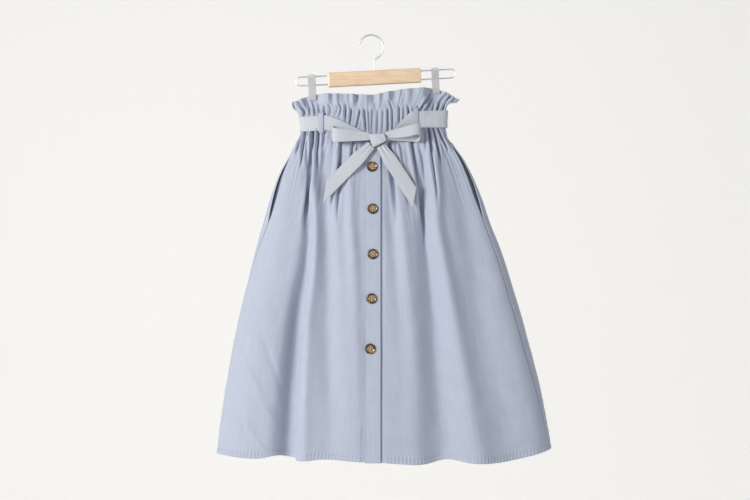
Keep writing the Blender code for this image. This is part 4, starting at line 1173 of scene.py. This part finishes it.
def button_mesh():
    """A turned disc with a round rim and a dished middle with four holes."""
    shape = bmesh.new()
    shape.loops.layers.uv.new("turned")
    bmesh.ops.create_grid(shape, x_segments=24, y_segments=24, size=1.0)
    for vert in shape.verts:
        a, b = vert.co.x, vert.co.y
        vert.co.x = a * math.sqrt(1 - b * b / 2)
        vert.co.y = b * math.sqrt(1 - a * a / 2)
    top = shape.faces[:]
    lower = bmesh.ops.extrude_face_region(shape, geom=top, use_keep_orig=True)["geom"]
    lower = {item for item in lower if isinstance(item, bmesh.types.BMVert)}
    for vert in shape.verts:
        radius = math.hypot(vert.co.x, vert.co.y)
        if vert in lower:
            vert.co.x *= 0.90
            vert.co.y *= 0.90
            vert.co.z = 0.0
            continue
        rim = math.exp(-(((radius - 0.84) / 0.13) ** 2))
        vert.co.z = 0.68 + 0.32 * rim - 0.55 * max(radius - 0.90, 0.0) / 0.1
    layer = shape.loops.layers.uv["turned"]
    for face in shape.faces:
        for corner in face.loops:
            corner[layer].uv = (corner.vert.co.x, corner.vert.co.y)
    for side in (-1, 1):
        for end in (-1, 1):
            middle = Vector((side * BUTTON_HOLE, end * BUTTON_HOLE))
            centres = [(face, face.calc_center_median()) for face in shape.faces]
            well = [face for face, spot in centres if spot.z > 0.5 and (spot.xy - middle).length < 0.10]
            bmesh.ops.inset_region(shape, faces=well, thickness=0.02)
            for vert in {vert for face in well for vert in face.verts}:
                vert.co.z -= 0.45
    for vert in shape.verts:
        x, y, z = vert.co
        vert.co = Vector((x * BUTTON_RADIUS, y * BUTTON_RADIUS, z * BUTTON_THICKNESS))
    bmesh.ops.recalc_face_normals(shape, faces=shape.faces[:])
    return shape


def make_buttons(look, thread):
    seat = PLACKET_RISE + WALL + BUTTON_SEAT
    for button in BUTTONS:
        point = Vector(plain_front(button.x, button.height, seat)[0])
        above = Vector(plain_front(button.x, button.height + 0.008, seat)[0])
        below = Vector(plain_front(button.x, button.height - 0.008, seat)[0])
        up = (above - below).normalized()
        facing = Vector((1, 0, 0)).cross(up).normalized()
        facing = facing if facing.y < 0 else -facing
        place = Matrix.Translation(point) @ facing.to_track_quat("Z", "Y").to_matrix().to_4x4()
        place = place @ Matrix.Rotation(button.turn, 4, "Z")
        shape = button_mesh()
        bmesh.ops.transform(shape, matrix=place, verts=shape.verts[:])
        mesh = mesh_of(shape, f"{button.name}_shell")
        finish_piece(f"{button.name}_shell", mesh, look, (button.name,))
        mesh.set_sharp_from_angle(angle=math.radians(50))
        stitches = bmesh.new()
        for side in (-1, 1):
            spot = Matrix.Translation((side * BUTTON_HOLE * BUTTON_RADIUS, 0, BUTTON_THICKNESS * 0.70))
            bmesh.ops.create_cone(
                stitches, cap_ends=True, segments=10, radius1=THREAD, radius2=THREAD, depth=THREAD_RUN,
                matrix=spot @ Matrix.Rotation(math.pi / 2, 4, "X"),
            )
        bmesh.ops.transform(stitches, matrix=place, verts=stitches.verts[:])
        mesh = mesh_of(stitches, f"{button.name}_thread")
        finish_piece(f"{button.name}_thread", mesh, thread, ())


def dress_hanger(maple, steel):
    for name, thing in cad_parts.items():
        if name == "hanger_bar":
            thing.data.materials.clear()
            thing.data.materials.append(maple)
        elif name.startswith(("hanger_", "clip_")):
            thing.data.materials.clear()
            thing.data.materials.append(steel)


# Stage, light and camera
def stage_plane(name, look, centre, size, turn):
    shape = bmesh.new()
    bmesh.ops.create_grid(shape, x_segments=1, y_segments=1, size=size / 2)
    bmesh.ops.transform(shape, matrix=Matrix.Translation(centre) @ turn, verts=shape.verts[:])
    mesh = mesh_of(shape, name)
    mesh.materials.append(look)
    plane = bpy.data.objects.new(name, mesh)
    bpy.context.scene.collection.objects.link(plane)


def make_stage():
    wall = backdrop_material()
    upright = Matrix.Rotation(math.radians(90), 4, "X")
    stage_plane("backdrop", wall, Vector((0, WALL_BEHIND, 2.5)), STAGE_SIZE, upright)
    floor = plain_material("pale_floor", WALL_WHITE, 0.8)
    stage_plane("floor", floor, Vector((0, -1.0, FLOOR_LEVEL)), STAGE_SIZE, Matrix.Identity(4))


def area_light(name, place, size, watts, colour):
    data = bpy.data.lights.new(name, "AREA")
    data.shape = "RECTANGLE"
    data.size = data.size_y = size
    data.energy = watts
    data.color = colour
    lamp = bpy.data.objects.new(name, data)
    lamp.location = place
    lamp.rotation_euler = (LIGHT_TARGET - Vector(place)).to_track_quat("-Z", "Y").to_euler()
    bpy.context.scene.collection.objects.link(lamp)


def make_light():
    world = bpy.data.worlds.new("studio")
    world.use_nodes = True
    fill(world.node_tree.nodes["Background"], {"Color": (0.94, 0.97, 1.0, 1.0), "Strength": 0.25})
    bpy.context.scene.world = world
    area_light("key", (-2.6, -2.15, 0.45), 1.0, 109.0, (1.0, 0.985, 0.965))
    area_light("fill", (2.8, -2.1, -0.2), 1.6, 27.0, (0.98, 0.99, 1.0))


def make_camera():
    middle_x = (PIXELS[0] / 2 - HOOK_PIXEL[0]) * METRES_A_PIXEL
    middle_z = -(PIXELS[1] / 2 - HOOK_PIXEL[1]) * METRES_A_PIXEL
    data = bpy.data.cameras.new("camera")
    data.sensor_width = SENSOR
    data.lens = SENSOR * CAMERA_DISTANCE / (PIXELS[0] * METRES_A_PIXEL)
    camera = bpy.data.objects.new("camera", data)
    camera.location = (middle_x, -CAMERA_DISTANCE, middle_z)
    camera.rotation_euler = (math.radians(90), 0, 0)
    bpy.context.scene.collection.objects.link(camera)
    bpy.context.scene.camera = camera


def main():
    view = bpy.context.scene.view_settings
    view.view_transform = "Standard"
    view.look = "None"
    weave = woven_group()
    cotton = cloth_material("skirt_cotton", weave, CLOTH_BLUE, CLOTH_PALE, 0.95, 0.30, 0.15)
    belt = cloth_material("belt_cotton_weave", weave, BELT_GREY, BELT_PALE, 0.80, 0.30, 0.15)
    # painted shade: the pocket bags take the darker colour, for the shade inside the slits
    pocket = cloth_material("pocket_painted_shade_weave", weave, POCKET_PAINTED_SHADE, CLOTH_BLUE, 0.30, 0.20, 0.10)
    make_camera()
    make_panels(cotton)
    make_placket(cotton)
    make_pockets(pocket)
    make_belt(belt)
    make_carriers(cotton)
    make_knot(belt)
    make_bow(belt)
    make_buttons(tortoiseshell_material(), plain_material("sewing_thread", THREAD_TAN, 0.8))
    dress_hanger(maple_material(), steel_material())
    make_stage()
    make_light()


main()
